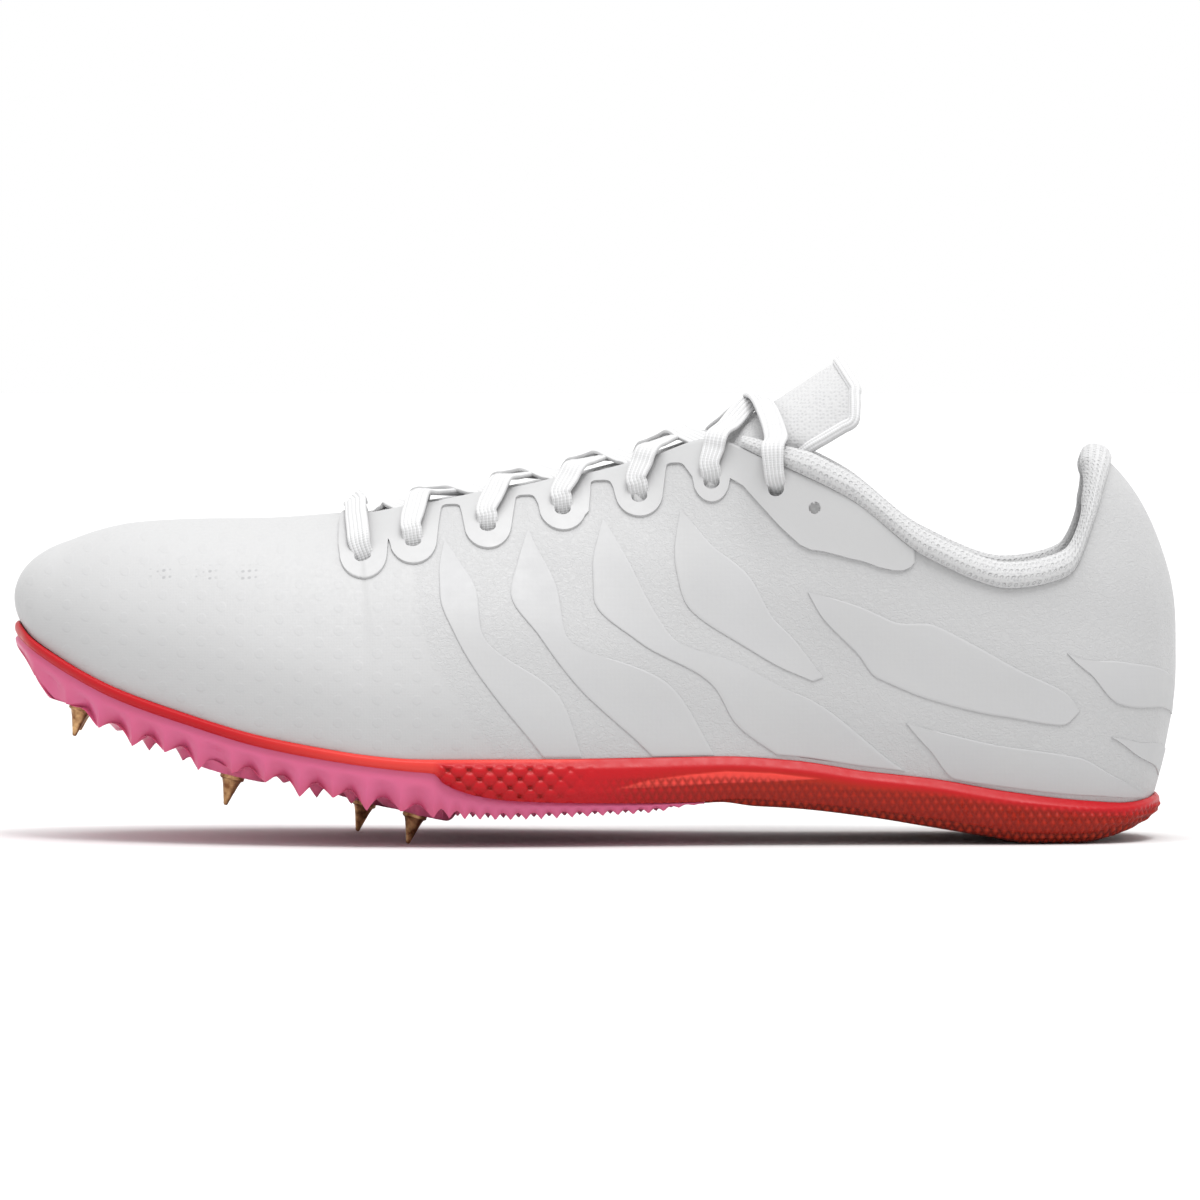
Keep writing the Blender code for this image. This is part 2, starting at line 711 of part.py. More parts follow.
def fine_marks():
    """Y of the sole's stations from toe to plate end: two to a tooth."""
    marks = []
    y, end = along(FOOT[0].place), along(PLATE_END)
    while y < end - FINE_TOOTH_PITCH / 4:
        marks.append(y)
        y += (TOOTH_PITCH if share_of(y) < NOSE else FINE_TOOTH_PITCH) / 2
    return marks + [end]


def heel_marks():
    """Y of the sole's stations from the heel rubber's front to the heel tip, closer at the tip."""
    first, tip = along(OUTSOLE_START), along(FOOT[-1].place)
    return [first + (tip - first) * math.sin(0.5 * math.pi * k / HEEL_STATIONS) for k in range(HEEL_STATIONS + 1)]


def stations(last, marks):
    """Each mark with the outline's X on the outer and the inner side."""
    samples = [last.curve(k / 8)[0:2] for k in range(0, last.count * 8 + 1)]
    mirrored = [last.curve(last.turn - k / 8)[0:2] for k in range(0, last.count * 8 + 1)]
    ys = [p[1] for p in samples]
    outer, inner = [p[0] for p in samples], [p[0] for p in mirrored]
    return [(y, float(np.interp(y, ys, outer)), float(np.interp(y, ys, inner))) for y in marks]


def outline_normal(rows, i, side):
    """Unit vector out of the outline at one station."""
    a, b = rows[max(i - 1, 0)], rows[min(i + 1, len(rows) - 1)]
    column = 1 if side > 0 else 2
    run = unit(np.array([b[column] - a[column], b[0] - a[0]]))
    return np.array([run[1], -run[0]]) if side > 0 else np.array([-run[1], run[0]])


def slab(name, rows, rings, top, under, across, slot, tips):
    """A sole layer. rows are stations, rings run from the top edge to the bottom edge as (offset,
    height) functions of the row, side and Y, top and under give the height of inner points from
    their row, column, X and Y, across is how many inner columns there are above and below, and
    tips says whether the first and the last station are a single point."""
    points, faces = [], []

    def add(x, y, z):
        points.append((x, y, z))
        return len(points) - 1

    edges = {1: [], -1: []}
    final = len(rows) - 1
    for i, (y, outer_x, inner_x) in enumerate(rows):
        tip = (i == 0 and tips[0]) or (i == final and tips[1])
        for side, x in ((1, outer_x), (-1, inner_x)):
            if tip and side < 0:
                edges[side].append(edges[1][i])
                continue
            if tip:
                away = np.array([0.0, -1.0 if i == 0 else 1.0])
            elif i in (0, final):
                away = np.array([float(side), 0.0])
            else:
                away = outline_normal(rows, i, side)
            column = []
            for offset, height in rings:
                shift = offset(i, side)
                place = y + away[1] * shift
                column.append(add(x + away[0] * shift, place, height(i, side, place)))
            edges[side].append(column)
    bottom = len(rings) - 1
    for side in (1, -1):
        for i in range(final):
            for r in range(bottom):
                a, b = edges[side][i], edges[side][i + 1]
                faces.append([a[r], b[r], b[r + 1], a[r + 1]])
    ladders = []
    for ring, surface, inner_count in ((0, top, across[0]), (bottom, under, across[1])):
        ladder = []
        for i in range(final + 1):
            left, right = edges[-1][i][ring], edges[1][i][ring]
            if left == right:
                ladder.append([left])
                continue
            a, b = np.array(points[left]), np.array(points[right])
            rung = [left]
            for k in range(1, inner_count + 1):
                x, y, _ = a + (b - a) * k / (inner_count + 1)
                rung.append(add(x, y, surface(i, k, x, y)))
            ladder.append(rung + [right])
        for a, b in zip(ladder, ladder[1:]):
            if len(a) == 1:
                faces += [[a[0], b[k], b[k + 1]] for k in range(len(b) - 1)]
            elif len(b) == 1:
                faces += [[a[k], b[0], a[k + 1]] for k in range(len(a) - 1)]
            else:
                faces += [[a[k], b[k], b[k + 1], a[k + 1]] for k in range(len(a) - 1)]
        ladders.append(ladder)
    for i, tip in ((0, tips[0]), (final, tips[1])):
        if not tip:
            faces.append(ladders[0][i] + edges[1][i][1:-1] + ladders[1][i][::-1] + edges[-1][i][1:-1][::-1])
    return solid(name, points, faces, slot)


def foot_height(last):
    """Height of the sole edge as a function of Y."""
    samples = [last.curve(k / 4)[1:3] for k in range(0, last.count * 4 + 1)]
    ys, zs = [p[0] for p in samples], [p[1] for p in samples]
    return lambda y: float(np.interp(y, ys, zs))


def split_height(y):
    """Height of the foam's underside."""
    return float(sole_curve(share_of(y))[0]) * TOP_HEIGHT


def base_height(y):
    """Height of the underside of plate and heel rubber, without teeth."""
    return min(float(sole_curve(share_of(y))[1]) * TOP_HEIGHT, split_height(y) - GAP - THINNEST)


def side_swell(y):
    """How far the sole's side stands out past its margin."""
    return float(sole_curve(share_of(y))[2]) * BALL_WIDTH


def make_midsole(last):
    """The foam from toe to heel: thin over the plate, with a rounded nose where it grows thick."""
    fine = fine_marks()
    near_nose = [y for y in fine if NOSE - 0.02 < share_of(y) < NOSE + 0.07]
    marks = sorted(set(fine[:6] + fine[6:-1:2] + near_nose + heel_marks()))
    rows = stations(last, marks)
    edge = foot_height(last)
    swell = [side_swell(y) for y in marks]

    def level(share):
        return lambda i, side, y: (1 - share) * (edge(y) - GAP) + share * split_height(y)

    def stand(margin, share):
        return lambda i, side: SOLE_MARGIN * margin + share * swell[i]

    def footbed(i, k, x, y):
        dish = SOLE_DISH if share_of(y) > 0.5 and 0 < i < len(rows) - 1 else 0.0
        return edge(y) - GAP - dish * (1 - (x / (0.3 * BALL_WIDTH)) ** 2)

    rings = [
        (stand(0.5, 0.0), level(0.0)),
        (stand(0.9, 0.8), level(0.25)),
        (stand(0.9, 0.9), level(0.75)),
        (stand(0.5, 0.4), level(1.0)),
    ]
    return slab("midsole", rows, rings, footbed, lambda i, k, x, y: split_height(y), (2, 2), "foam_red", (True, True))


def pin_base(pin):
    """Where a pin's flange meets the plate."""
    reach = PIN_HEIGHT + PIN_FLANGE
    return np.array([pin.side * BALL_WIDTH,
                     along(pin.place) + reach * math.sin(PIN_LEAN),
                     pin.tip * TOP_HEIGHT + reach * math.cos(PIN_LEAN) + PIN_TIP_RADIUS * 0.5 * math.sin(PIN_LEAN)])


def make_plate(last):
    """The spike plate: a band under the foam whose underside is cut into teeth, flat round each pin."""
    marks = fine_marks()
    rows = stations(last, marks)
    bases = [pin_base(pin) for pin in PINS]
    columns = 7

    def tooth(i, k):
        if i == 0 or i == len(rows) - 1 or (i + k) % 2 == 0:
            return 0.0
        big = share_of(marks[i]) < NOSE + 0.01
        size = TOOTH_HEIGHT * (1 + 0.22 * math.sin(1.9 * i)) if big else FINE_TOOTH_HEIGHT
        return size * min(share_of(marks[i]) / 0.05, 1.0)

    def under(i, k, x, y):
        height = base_height(y) - tooth(i, k)
        for centre in bases:
            flat = centre[2] - (y - centre[1]) * math.tan(PIN_LEAN) + GAP / 2
            distance = math.hypot(x - centre[0], y - centre[1])
            blend = float(np.clip((BOSS_RADIUS + TOOTH_HEIGHT - distance) / TOOTH_HEIGHT, 0.0, 1.0))
            height = height * (1 - blend) + flat * blend
        return height

    def column(side):
        return 0 if side < 0 else columns + 1

    rings = [
        (lambda i, side: SOLE_MARGIN * 0.4, lambda i, side, y: split_height(y) - GAP),
        (lambda i, side: SOLE_MARGIN * 0.9,
         lambda i, side, y: 0.45 * (split_height(y) - GAP) + 0.55 * base_height(y)),
        (lambda i, side: SOLE_MARGIN * (0.2 + 0.9 * (tooth(i, column(side)) > 0)),
         lambda i, side, y: base_height(y) - tooth(i, column(side))),
    ]
    return slab("spike_plate", rows, rings, lambda i, k, x, y: split_height(y) - GAP, under,
                (1, columns), "plate_pink", (True, False))


def make_outsole(last):
    """The heel rubber, level where the shoe rests on it."""
    marks = heel_marks()
    rows = stations(last, marks)
    swell = [side_swell(y) for y in marks]
    rings = [
        (lambda i, side: SOLE_MARGIN * 0.5 + 0.4 * swell[i], lambda i, side, y: split_height(y) - GAP),
        (lambda i, side: 0.0, lambda i, side, y: 0.3 * (split_height(y) - GAP) + 0.7 * base_height(y)),
        (lambda i, side: -OUTSOLE_ROUND, lambda i, side, y: base_height(y)),
    ]
    return slab("heel_outsole", rows, rings, lambda i, k, x, y: split_height(y) - GAP,
                lambda i, k, x, y: base_height(y), (2, 3), "rubber_orange", (False, True))


def make_insole(last):
    """The footbed on the foam, inside the upper's wall."""
    marks = fine_marks()
    marks = sorted(set(marks[:6] + marks[6:-1:4] + heel_marks()))
    rows = stations(last, marks)
    edge = foot_height(last)
    inset = WALL + 2 * GAP

    def footbed(i, k, x, y):
        dish = SOLE_DISH if share_of(y) > 0.5 and 0 < i < len(rows) - 1 else 0.0
        return edge(y) + INSOLE_THICKNESS - dish * (1 - (x / (0.3 * BALL_WIDTH)) ** 2)

    rings = [
        (lambda i, side: -inset, lambda i, side, y: edge(y) + INSOLE_THICKNESS),
        (lambda i, side: -inset, lambda i, side, y: edge(y)),
    ]
    return slab("insole", rows, rings, footbed, lambda i, k, x, y: edge(y), (2, 0), "insole_grey", (True, True))


def make_pin(pin):
    """One screw-in pin: a flange and a cone with a rounded tip, leaning toward the toe."""
    profile = [
        (PIN_FLANGE_RADIUS, 0.0),
        (PIN_FLANGE_RADIUS, PIN_FLANGE),
        (PIN_RADIUS, PIN_FLANGE),
        (PIN_TIP_RADIUS, PIN_FLANGE + PIN_HEIGHT - PIN_TIP_RADIUS),
        (PIN_TIP_RADIUS * 0.5, PIN_FLANGE + PIN_HEIGHT),
    ]
    base = pin_base(pin)
    axis = np.array([0.0, -math.sin(PIN_LEAN), -math.cos(PIN_LEAN)])
    across = np.array([1.0, 0.0, 0.0])
    back = np.cross(axis, across)
    sides = 8
    points = []
    for radius, depth in profile:
        for k in range(sides):
            angle = 2 * math.pi * k / sides
            points.append(base + axis * depth
                          + (across * math.cos(angle) + back * math.sin(angle)) * radius)
    faces = []
    for ring in range(len(profile) - 1):
        for k in range(sides):
            a, b = ring * sides + k, ring * sides + (k + 1) % sides
            faces.append([a, b, b + sides, a + sides])
    faces += [list(range(sides)), list(range((len(profile) - 1) * sides, len(profile) * sides))]
    return solid(pin.name, points, faces, "pin_bronze")


def tree_of(things):
    """A search tree over several objects."""
    points, faces = [], []
    for thing in things:
        start = len(points)
        points += [v.co.copy() for v in thing.data.vertices]
        faces += [[start + k for k in p.vertices] for p in thing.data.polygons]
    return BVHTree.FromPolygons(points, faces)


def ribbon(path, name):
    """A flat lace strand. path holds the middle of its underside and the direction off the shoe there."""
    points = []
    for k, (spot, out) in enumerate(path):
        before, after = path[max(k - 1, 0)][0], path[min(k + 1, len(path) - 1)][0]
        side = unit(np.cross(after - before, out)) * LACE_WIDTH / 2
        out = unit(np.cross(side, after - before))
        points += [spot - side, spot + side, spot + side + out * LACE_THICKNESS, spot - side + out * LACE_THICKNESS]
    faces = []
    for k in range(len(path) - 1):
        for c in range(4):
            a, b = 4 * k + c, 4 * k + (c + 1) % 4
            faces.append([a, b, b + 4, a + 4])
    end = 4 * (len(path) - 1)
    faces += [[0, 1, 2, 3], [end + c for c in range(4)]]
    return solid(name, points, faces, "lace_white")


def settled(path, ground):
    """The path with points added between its own and all of them raised until the strand's
    middle and both edges clear what lies below."""
    finer = [path[0]]
    for (a, out_a), (b, out_b) in zip(path, path[1:]):
        for f in (1 / 3, 2 / 3, 1.0):
            finer.append((a + (b - a) * f, unit(out_a * (1 - f) + out_b * f)))
    raised = []
    for k, (spot, out) in enumerate(finer):
        run = finer[min(k + 1, len(finer) - 1)][0] - finer[max(k - 1, 0)][0]
        side = unit(np.cross(run, out)) * LACE_WIDTH / 2
        short = 0.0
        for f in (-1, -0.5, 0, 0.5, 1):
            x, y, z = spot + side * f
            hit = ground.ray_cast(Vector((x, y, 2 * TOP_HEIGHT)), Vector((0, 0, -1)))[0]
            if hit:
                short = max(short, hit.z + 3 * GAP - z)
        raised.append((spot + np.array([0.0, 0.0, short]), out))
    return raised


class Lacing:
    """Where the lace's strands run, from the eyelets and the tongue below them."""

    def __init__(self, last, found, tongue):
        self.last = last
        self.rows = [(place, rise) for place, rise, laced in found if laced]
        self.tongue = tree_of([tongue])

    def spot(self, k, side):
        place, rise = self.rows[k]
        return (place if side > 0 else self.last.mirrored(place)), rise

    def outside(self, k, side, lean):
        """From the eyelet up the outside to the rim, leaning along the rim by that many rows."""
        place, rise = self.spot(k, side)
        low = rise + EYELET_LENGTH * 0.8 / TOP_HEIGHT
        path = []
        for f in (0.0, 0.5, 1.0):
            at = place + side * lean * f
            up = low + (1.0 - low) * f
            height = FILM + 4 * GAP + 2 * GAP * f
            path.append((self.last.lifted(at, up, height), self.last.normal(at, min(up, 0.98))))
        return path

    def middle(self, k, share):
        """Over the tongue between rows k and k + 1."""
        a = self.last.point(self.rows[k][0], 1.0)
        b = self.last.point(self.rows[min(k + 1, len(self.rows) - 1)][0], 1.0)
        y = a[1] + (b[1] - a[1]) * share
        x = ridge_side(share_of(y))
        hit = self.tongue.ray_cast(Vector((x, y, 2 * TOP_HEIGHT)), Vector((0, 0, -1)))[0]
        slope = unit(np.array([0.0, -(b[2] - a[2]), b[1] - a[1]]))
        return np.array([x, y, hit.z]) + slope * 3.5 * GAP, slope

    def under(self, k, side, share):
        """Beside the rim of row k, low enough to run on below it."""
        place, _ = self.spot(k, side)
        edge = self.last.point(place, 1.0)
        x = edge[0] - side * share * LACE_WIDTH
        hit, normal, _, _ = self.tongue.ray_cast(Vector((x, edge[1], 2 * TOP_HEIGHT)), Vector((0, 0, -1)))
        return np.array([x, edge[1], hit.z]) + np.array(normal) * 2 * GAP, np.array(normal)

    def first(self, side):
        """Beside the middle, just past the throat's end, where the lowest crossing comes out."""
        spot, up = self.middle(0, 0.25)
        return spot + np.array([side * LACE_WIDTH * 0.5, 0.0, -GAP]), up

    def over_roll(self, k, side):
        """From the middle over the collar's roll and down the outside into the eyelet."""
        place, rise = self.spot(k, side)
        rim = self.last.point(place, 1.0)
        out = self.last.normal(place, 0.98)
        up = unit(rim - self.last.point(place, 0.96))
        low = rise + EYELET_LENGTH * 0.8 / TOP_HEIGHT
        return [
            (rim + up * (ROLL_WIDTH * 1.05 + 2 * GAP) - out * ROLL_WIDTH * 0.3, unit(up + out * 0.3)),
            (rim + up * ROLL_WIDTH * 0.6 + out * (ROLL_WIDTH * 0.21 + 3 * GAP), unit(out + up * 0.3)),
            (self.last.lifted(place, 0.5 * (1 + low), FILM + 4 * GAP), self.last.normal(place, 0.5 * (1 + low))),
            (self.last.lifted(place, low, FILM + 3 * GAP), self.last.normal(place, low)),
        ]


def make_laces(lacing, ground):
    """The bar at the toe end and the crossings above it, each joined where its strands cross."""
    sky = np.array([0.0, 0.0, 1.0])
    low, high = lacing.outside(0, 1, 0.0), lacing.outside(0, -1, 0.0)
    bar_middle = (low[-1][0] + high[-1][0]) / 2 + sky * GAP, sky
    bar = low + [bar_middle] + high[::-1]
    ribbon(settled(bar, ground), "lace_bar")
    final = len(lacing.rows) - 2
    for k in range(final + 1):
        pair = []
        for side in (1, -1):
            start = [lacing.first(side)] if k == 0 else lacing.outside(k, side, 0.32)
            centre, up = lacing.middle(k, 0.62)
            crossing = [(centre + up * (GAP if side > 0 else 2.5 * GAP), up)]
            end = lacing.over_roll(k + 1, -side) if k == final else [lacing.under(k + 1, -side, 0.68)]
            over = settled(start[-1:] + crossing + end[:1], ground)
            name = f"lace_crossing_{k + 1}" if side > 0 else "strand"
            pair.append(ribbon(start[:-1] + over + end[1:], name))
        combine(pair[0], pair[1], "UNION")


def centre_on_ground(things):
    """Move everything so that the middle of the whole box lies over the origin."""
    corners = np.array([v.co for thing in things for v in thing.data.vertices])
    shift = (corners.min(axis=0) + corners.max(axis=0)) / -2
    for thing in things:
        for v in thing.data.vertices:
            v.co.x += shift[0]
            v.co.y += shift[1]
        thing.data.update()


def main():
    clear_scene()
    last = Last()
    upper = make_upper(last)
    eyestays = [make_eyestay(last, side) for side in (1, -1)]
    collar = make_collar(last, tree_of([upper]))
    tongue = make_tongue(tree_of([upper, collar]))
    ground = tree_of([upper, *eyestays, tongue])
    found = eyelet_places(last)
    pierce(last, upper, found, (1, -1))
    for side, eyestay in zip((1, -1), eyestays):
        pierce(last, eyestay, found, (side,))
    make_insole(last)
    make_midsole(last)
    make_plate(last)
    make_outsole(last)
    for pin in PINS:
        make_pin(pin)
    make_laces(Lacing(last, found, tongue), ground)
    centre_on_ground([thing for thing in bpy.data.objects if thing.type == "MESH"])


main()
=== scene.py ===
"""Looks of a left track spike shoe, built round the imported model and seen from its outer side.

Metres, +Z up, the toe toward -Y and the outer side toward +X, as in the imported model.
"""

import math
from collections import namedtuple

import bmesh
import bpy
import numpy as np
from bpy.props import FloatProperty, FloatVectorProperty, IntProperty, PointerProperty
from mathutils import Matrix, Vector
from mathutils.bvhtree import BVHTree


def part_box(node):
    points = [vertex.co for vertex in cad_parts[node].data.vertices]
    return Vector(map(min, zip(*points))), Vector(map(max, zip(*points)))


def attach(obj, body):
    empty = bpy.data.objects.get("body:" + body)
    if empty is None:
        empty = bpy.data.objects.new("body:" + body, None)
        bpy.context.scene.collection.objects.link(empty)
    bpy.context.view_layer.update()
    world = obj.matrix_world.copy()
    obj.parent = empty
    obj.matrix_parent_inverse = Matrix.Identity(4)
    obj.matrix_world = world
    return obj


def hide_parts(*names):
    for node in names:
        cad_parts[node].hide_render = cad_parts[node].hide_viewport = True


bl_info = {
    "name": "Track Spike Shoe",
    "version": (1, 0, 0),
    "blender": (4, 5, 0),
    "location": "3D View > Sidebar > Shoe",
    "description": "Dresses the packed solids of a track spike shoe",
    "category": "Object",
}

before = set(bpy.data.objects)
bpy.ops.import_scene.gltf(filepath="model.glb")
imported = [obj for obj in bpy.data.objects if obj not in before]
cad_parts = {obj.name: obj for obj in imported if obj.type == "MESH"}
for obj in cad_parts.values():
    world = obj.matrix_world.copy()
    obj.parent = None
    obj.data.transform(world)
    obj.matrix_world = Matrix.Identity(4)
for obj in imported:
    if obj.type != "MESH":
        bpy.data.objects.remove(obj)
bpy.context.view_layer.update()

# The last's sizes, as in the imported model
LENGTH = 0.284
BALL_WIDTH = 0.100
TOP_HEIGHT = 0.100
WALL = 0.0017
GAP = 0.0003
SOLE_MARGIN = 0.0012
ROLL_WIDTH = 0.0052
LINING_DEPTH = 0.024
EYELET_WIDTH = 0.0040
EYELET_LENGTH = 0.0062
SPARE_EYELET = 0.0030
THROAT_ROW = 6
COLLAR_ROW = 12.5
STEPS_ROUND = 2
STEPS_UP = 5
FILM = 0.0006
TONGUE_THICKNESS = 0.0028
LACE_WIDTH = 0.0050
LACE_THICKNESS = 0.0012
LACE_NECK = 0.86
TAPE_RADIUS = 0.0015
SEAM = 0.00002
TOOTH_HEIGHT = 0.0034
FINE_TOOTH_HEIGHT = 0.0013
TOOTH_PITCH = 0.0082
PIN_HEIGHT = 0.00635
PIN_FLANGE = 0.0012
PIN_FLANGE_RADIUS = 0.0030
PIN_RADIUS = 0.0023
PIN_TIP_RADIUS = 0.0006
PIN_LEAN = math.radians(14)
BOSS_RADIUS = 0.0080
OUTSOLE_ROUND = 0.0030
NOSE = 0.364
PLATE_END = 0.590
OUTSOLE_START = 0.600
ARCH_JOINT = 0.595
JOINT_OVERRUN = 0.004
FINE_TOOTH_PITCH = 0.00185
TOE_TAPER = 0.05
NUB_PITCH = 0.0021
NUB_RISE = 0.0034
DOME_PITCH = 0.0049
DOME_RISE = 0.0021
DOME_FOOT = 0.0125
VENT_PLACES = (0.129, 0.166, 0.204)
VENT_HEIGHT = 0.654
HEXAGONS = 66.0
SOLE_STEP = 0.00036
PHOTO_SIZE = 1200
PHOTO_SCALE = 0.0002448
CAMERA_DISTANCE = 3.0

# The sole edge that the upper stands on: place is a share of LENGTH from the toe, outer and inner
# shares of BALL_WIDTH from the axis, height a share of TOP_HEIGHT
Foot = namedtuple("Foot", "place outer inner height")
FOOT = [
    Foot(0.004, -0.080, -0.080, 0.529),
    Foot(0.014, 0.030, -0.195, 0.497),
    Foot(0.045, 0.130, -0.310, 0.441),
    Foot(0.090, 0.235, -0.390, 0.379),
    Foot(0.150, 0.325, -0.440, 0.321),
    Foot(0.220, 0.400, -0.465, 0.266),
    Foot(0.300, 0.450, -0.462, 0.226),
    Foot(0.322, 0.454, -0.457, 0.219),
    Foot(0.347, 0.456, -0.447, 0.214),
    Foot(0.380, 0.455, -0.432, 0.213),
    Foot(0.460, 0.430, -0.380, 0.213),
    Foot(0.540, 0.395, -0.330, 0.215),
    Foot(0.610, 0.365, -0.298, 0.217),
    Foot(0.670, 0.345, -0.285, 0.206),
    Foot(0.730, 0.330, -0.285, 0.180),
    Foot(0.790, 0.318, -0.290, 0.160),
    Foot(0.850, 0.305, -0.295, 0.130),
    Foot(0.910, 0.280, -0.280, 0.108),
    Foot(0.955, 0.222, -0.222, 0.098),
    Foot(0.977, 0.120, -0.120, 0.106),
    Foot(0.983, 0.000, 0.000, 0.112),
]

# The upper's top edge, row by row with FOOT: gap is half the opening, in shares of BALL_WIDTH
Rim = namedtuple("Rim", "place gap height")
RIM = [
    Rim(0.045, 0.000, 0.727),
    Rim(0.051, 0.000, 0.733),
    Rim(0.066, 0.000, 0.748),
    Rim(0.102, 0.000, 0.770),
    Rim(0.155, 0.000, 0.779),
    Rim(0.222, 0.000, 0.786),
    Rim(0.298, 0.000, 0.798),
    Rim(0.3015, 0.062, 0.792),
    Rim(0.325, 0.096, 0.804),
    Rim(0.375, 0.112, 0.832),
    Rim(0.452, 0.130, 0.873),
    Rim(0.530, 0.145, 0.920),
    Rim(0.600, 0.170, 0.980),
    Rim(0.655, 0.255, 0.926),
    Rim(0.718, 0.285, 0.842),
    Rim(0.785, 0.290, 0.698),
    Rim(0.855, 0.285, 0.624),
    Rim(0.905, 0.255, 0.654),
    Rim(0.928, 0.190, 0.790),
    Rim(0.939, 0.105, 0.895),
    Rim(0.943, 0.000, 0.925),
]

# How the wall swells between foot and rim, in shares of BALL_WIDTH
Swell = namedtuple("Swell", "flare rise reach drop")
SWELL = [
    Swell(0.027, 0.054, 0.136, 0.044),
    Swell(0.027, 0.070, 0.150, 0.036),
    Swell(0.030, 0.120, 0.165, 0.024),
    Swell(0.034, 0.170, 0.200, 0.012),
    Swell(0.038, 0.215, 0.245, 0.006),
    Swell(0.042, 0.245, 0.285, 0.008),
    Swell(0.036, 0.260, 0.290, 0.018),
    Swell(0.032, 0.262, 0.262, 0.050),
    Swell(0.028, 0.266, 0.240, 0.070),
    Swell(0.022, 0.270, 0.220, 0.085),
    Swell(0.012, 0.280, 0.175, 0.115),
    Swell(0.010, 0.300, 0.140, 0.140),
    Swell(0.010, 0.300, 0.110, 0.175),
    Swell(0.014, 0.250, 0.050, 0.220),
    Swell(0.020, 0.220, 0.035, 0.200),
    Swell(0.025, 0.170, 0.030, 0.165),
    Swell(0.030, 0.160, 0.033, 0.155),
    Swell(0.035, 0.170, 0.042, 0.170),
    Swell(0.050, 0.200, 0.095, 0.190),
    Swell(0.065, 0.220, 0.175, 0.200),
    Swell(0.073, 0.225, 0.218, 0.200),
]

# The line that the vamp's ridge, the tongue and the opening follow, in shares of BALL_WIDTH
Ridge = namedtuple("Ridge", "place side")
RIDGE = [
    Ridge(0.000, -0.085),
    Ridge(0.100, -0.065),
    Ridge(0.300, -0.050),
    Ridge(0.450, -0.040),
    Ridge(0.600, -0.030),
    Ridge(0.700, -0.015),
    Ridge(0.800, -0.005),
    Ridge(1.000, 0.000),
]

# The sole in side view: split is the foam's underside and base the underside of plate and heel
# rubber, in shares of TOP_HEIGHT, swell how far the side stands out, a share of BALL_WIDTH
Sole = namedtuple("Sole", "place split base swell")
SOLE = [
    Sole(0.000, 0.502, 0.475, 0.000),
    Sole(0.014, 0.471, 0.432, 0.002),
    Sole(0.045, 0.416, 0.352, 0.004),
    Sole(0.090, 0.354, 0.290, 0.005),
    Sole(0.150, 0.297, 0.238, 0.005),
    Sole(0.220, 0.241, 0.182, 0.005),
    Sole(0.300, 0.202, 0.135, 0.005),
    Sole(0.345, 0.187, 0.108, 0.005),
    Sole(NOSE, 0.182, 0.098, 0.007),
    Sole(0.372, 0.160, 0.094, 0.016),
    Sole(0.384, 0.143, 0.090, 0.020),
    Sole(0.405, 0.126, 0.086, 0.022),
    Sole(0.430, 0.116, 0.084, 0.022),
    Sole(0.480, 0.110, 0.087, 0.020),
    Sole(0.540, 0.108, 0.092, 0.018),
    Sole(PLATE_END, 0.110, 0.099, 0.016),
    Sole(0.620, 0.116, 0.096, 0.016),
    Sole(0.670, 0.108, 0.088, 0.016),
    Sole(0.730, 0.090, 0.068, 0.016),
    Sole(0.790, 0.067, 0.040, 0.016),
    Sole(0.840, 0.043, 0.016, 0.018),
    Sole(0.874, 0.030, 0.000, 0.020),
    Sole(0.914, 0.028, 0.000, 0.020),
    Sole(0.955, 0.046, 0.024, 0.012),
    Sole(0.977, 0.066, 0.050, 0.004),
    Sole(1.000, 0.082, 0.074, 0.000),
]

# Eyelets of the outer side, toe to ankle: place along the shoe and height of the centre
Eyelet = namedtuple("Eyelet", "place height tab laced")
EYELETS = [
    Eyelet(0.3030, 0.700, 0.738, True),
    Eyelet(0.3455, 0.737, 0.815, True),
    Eyelet(0.4095, 0.772, 0.838, True),
    Eyelet(0.4735, 0.815, 0.876, True),
    Eyelet(0.5390, 0.850, 0.918, True),
    Eyelet(0.6010, 0.884, 0.866, True),
    Eyelet(0.6560, 0.872, 0.000, True),
    Eyelet(0.6890, 0.815, 0.000, False),
]


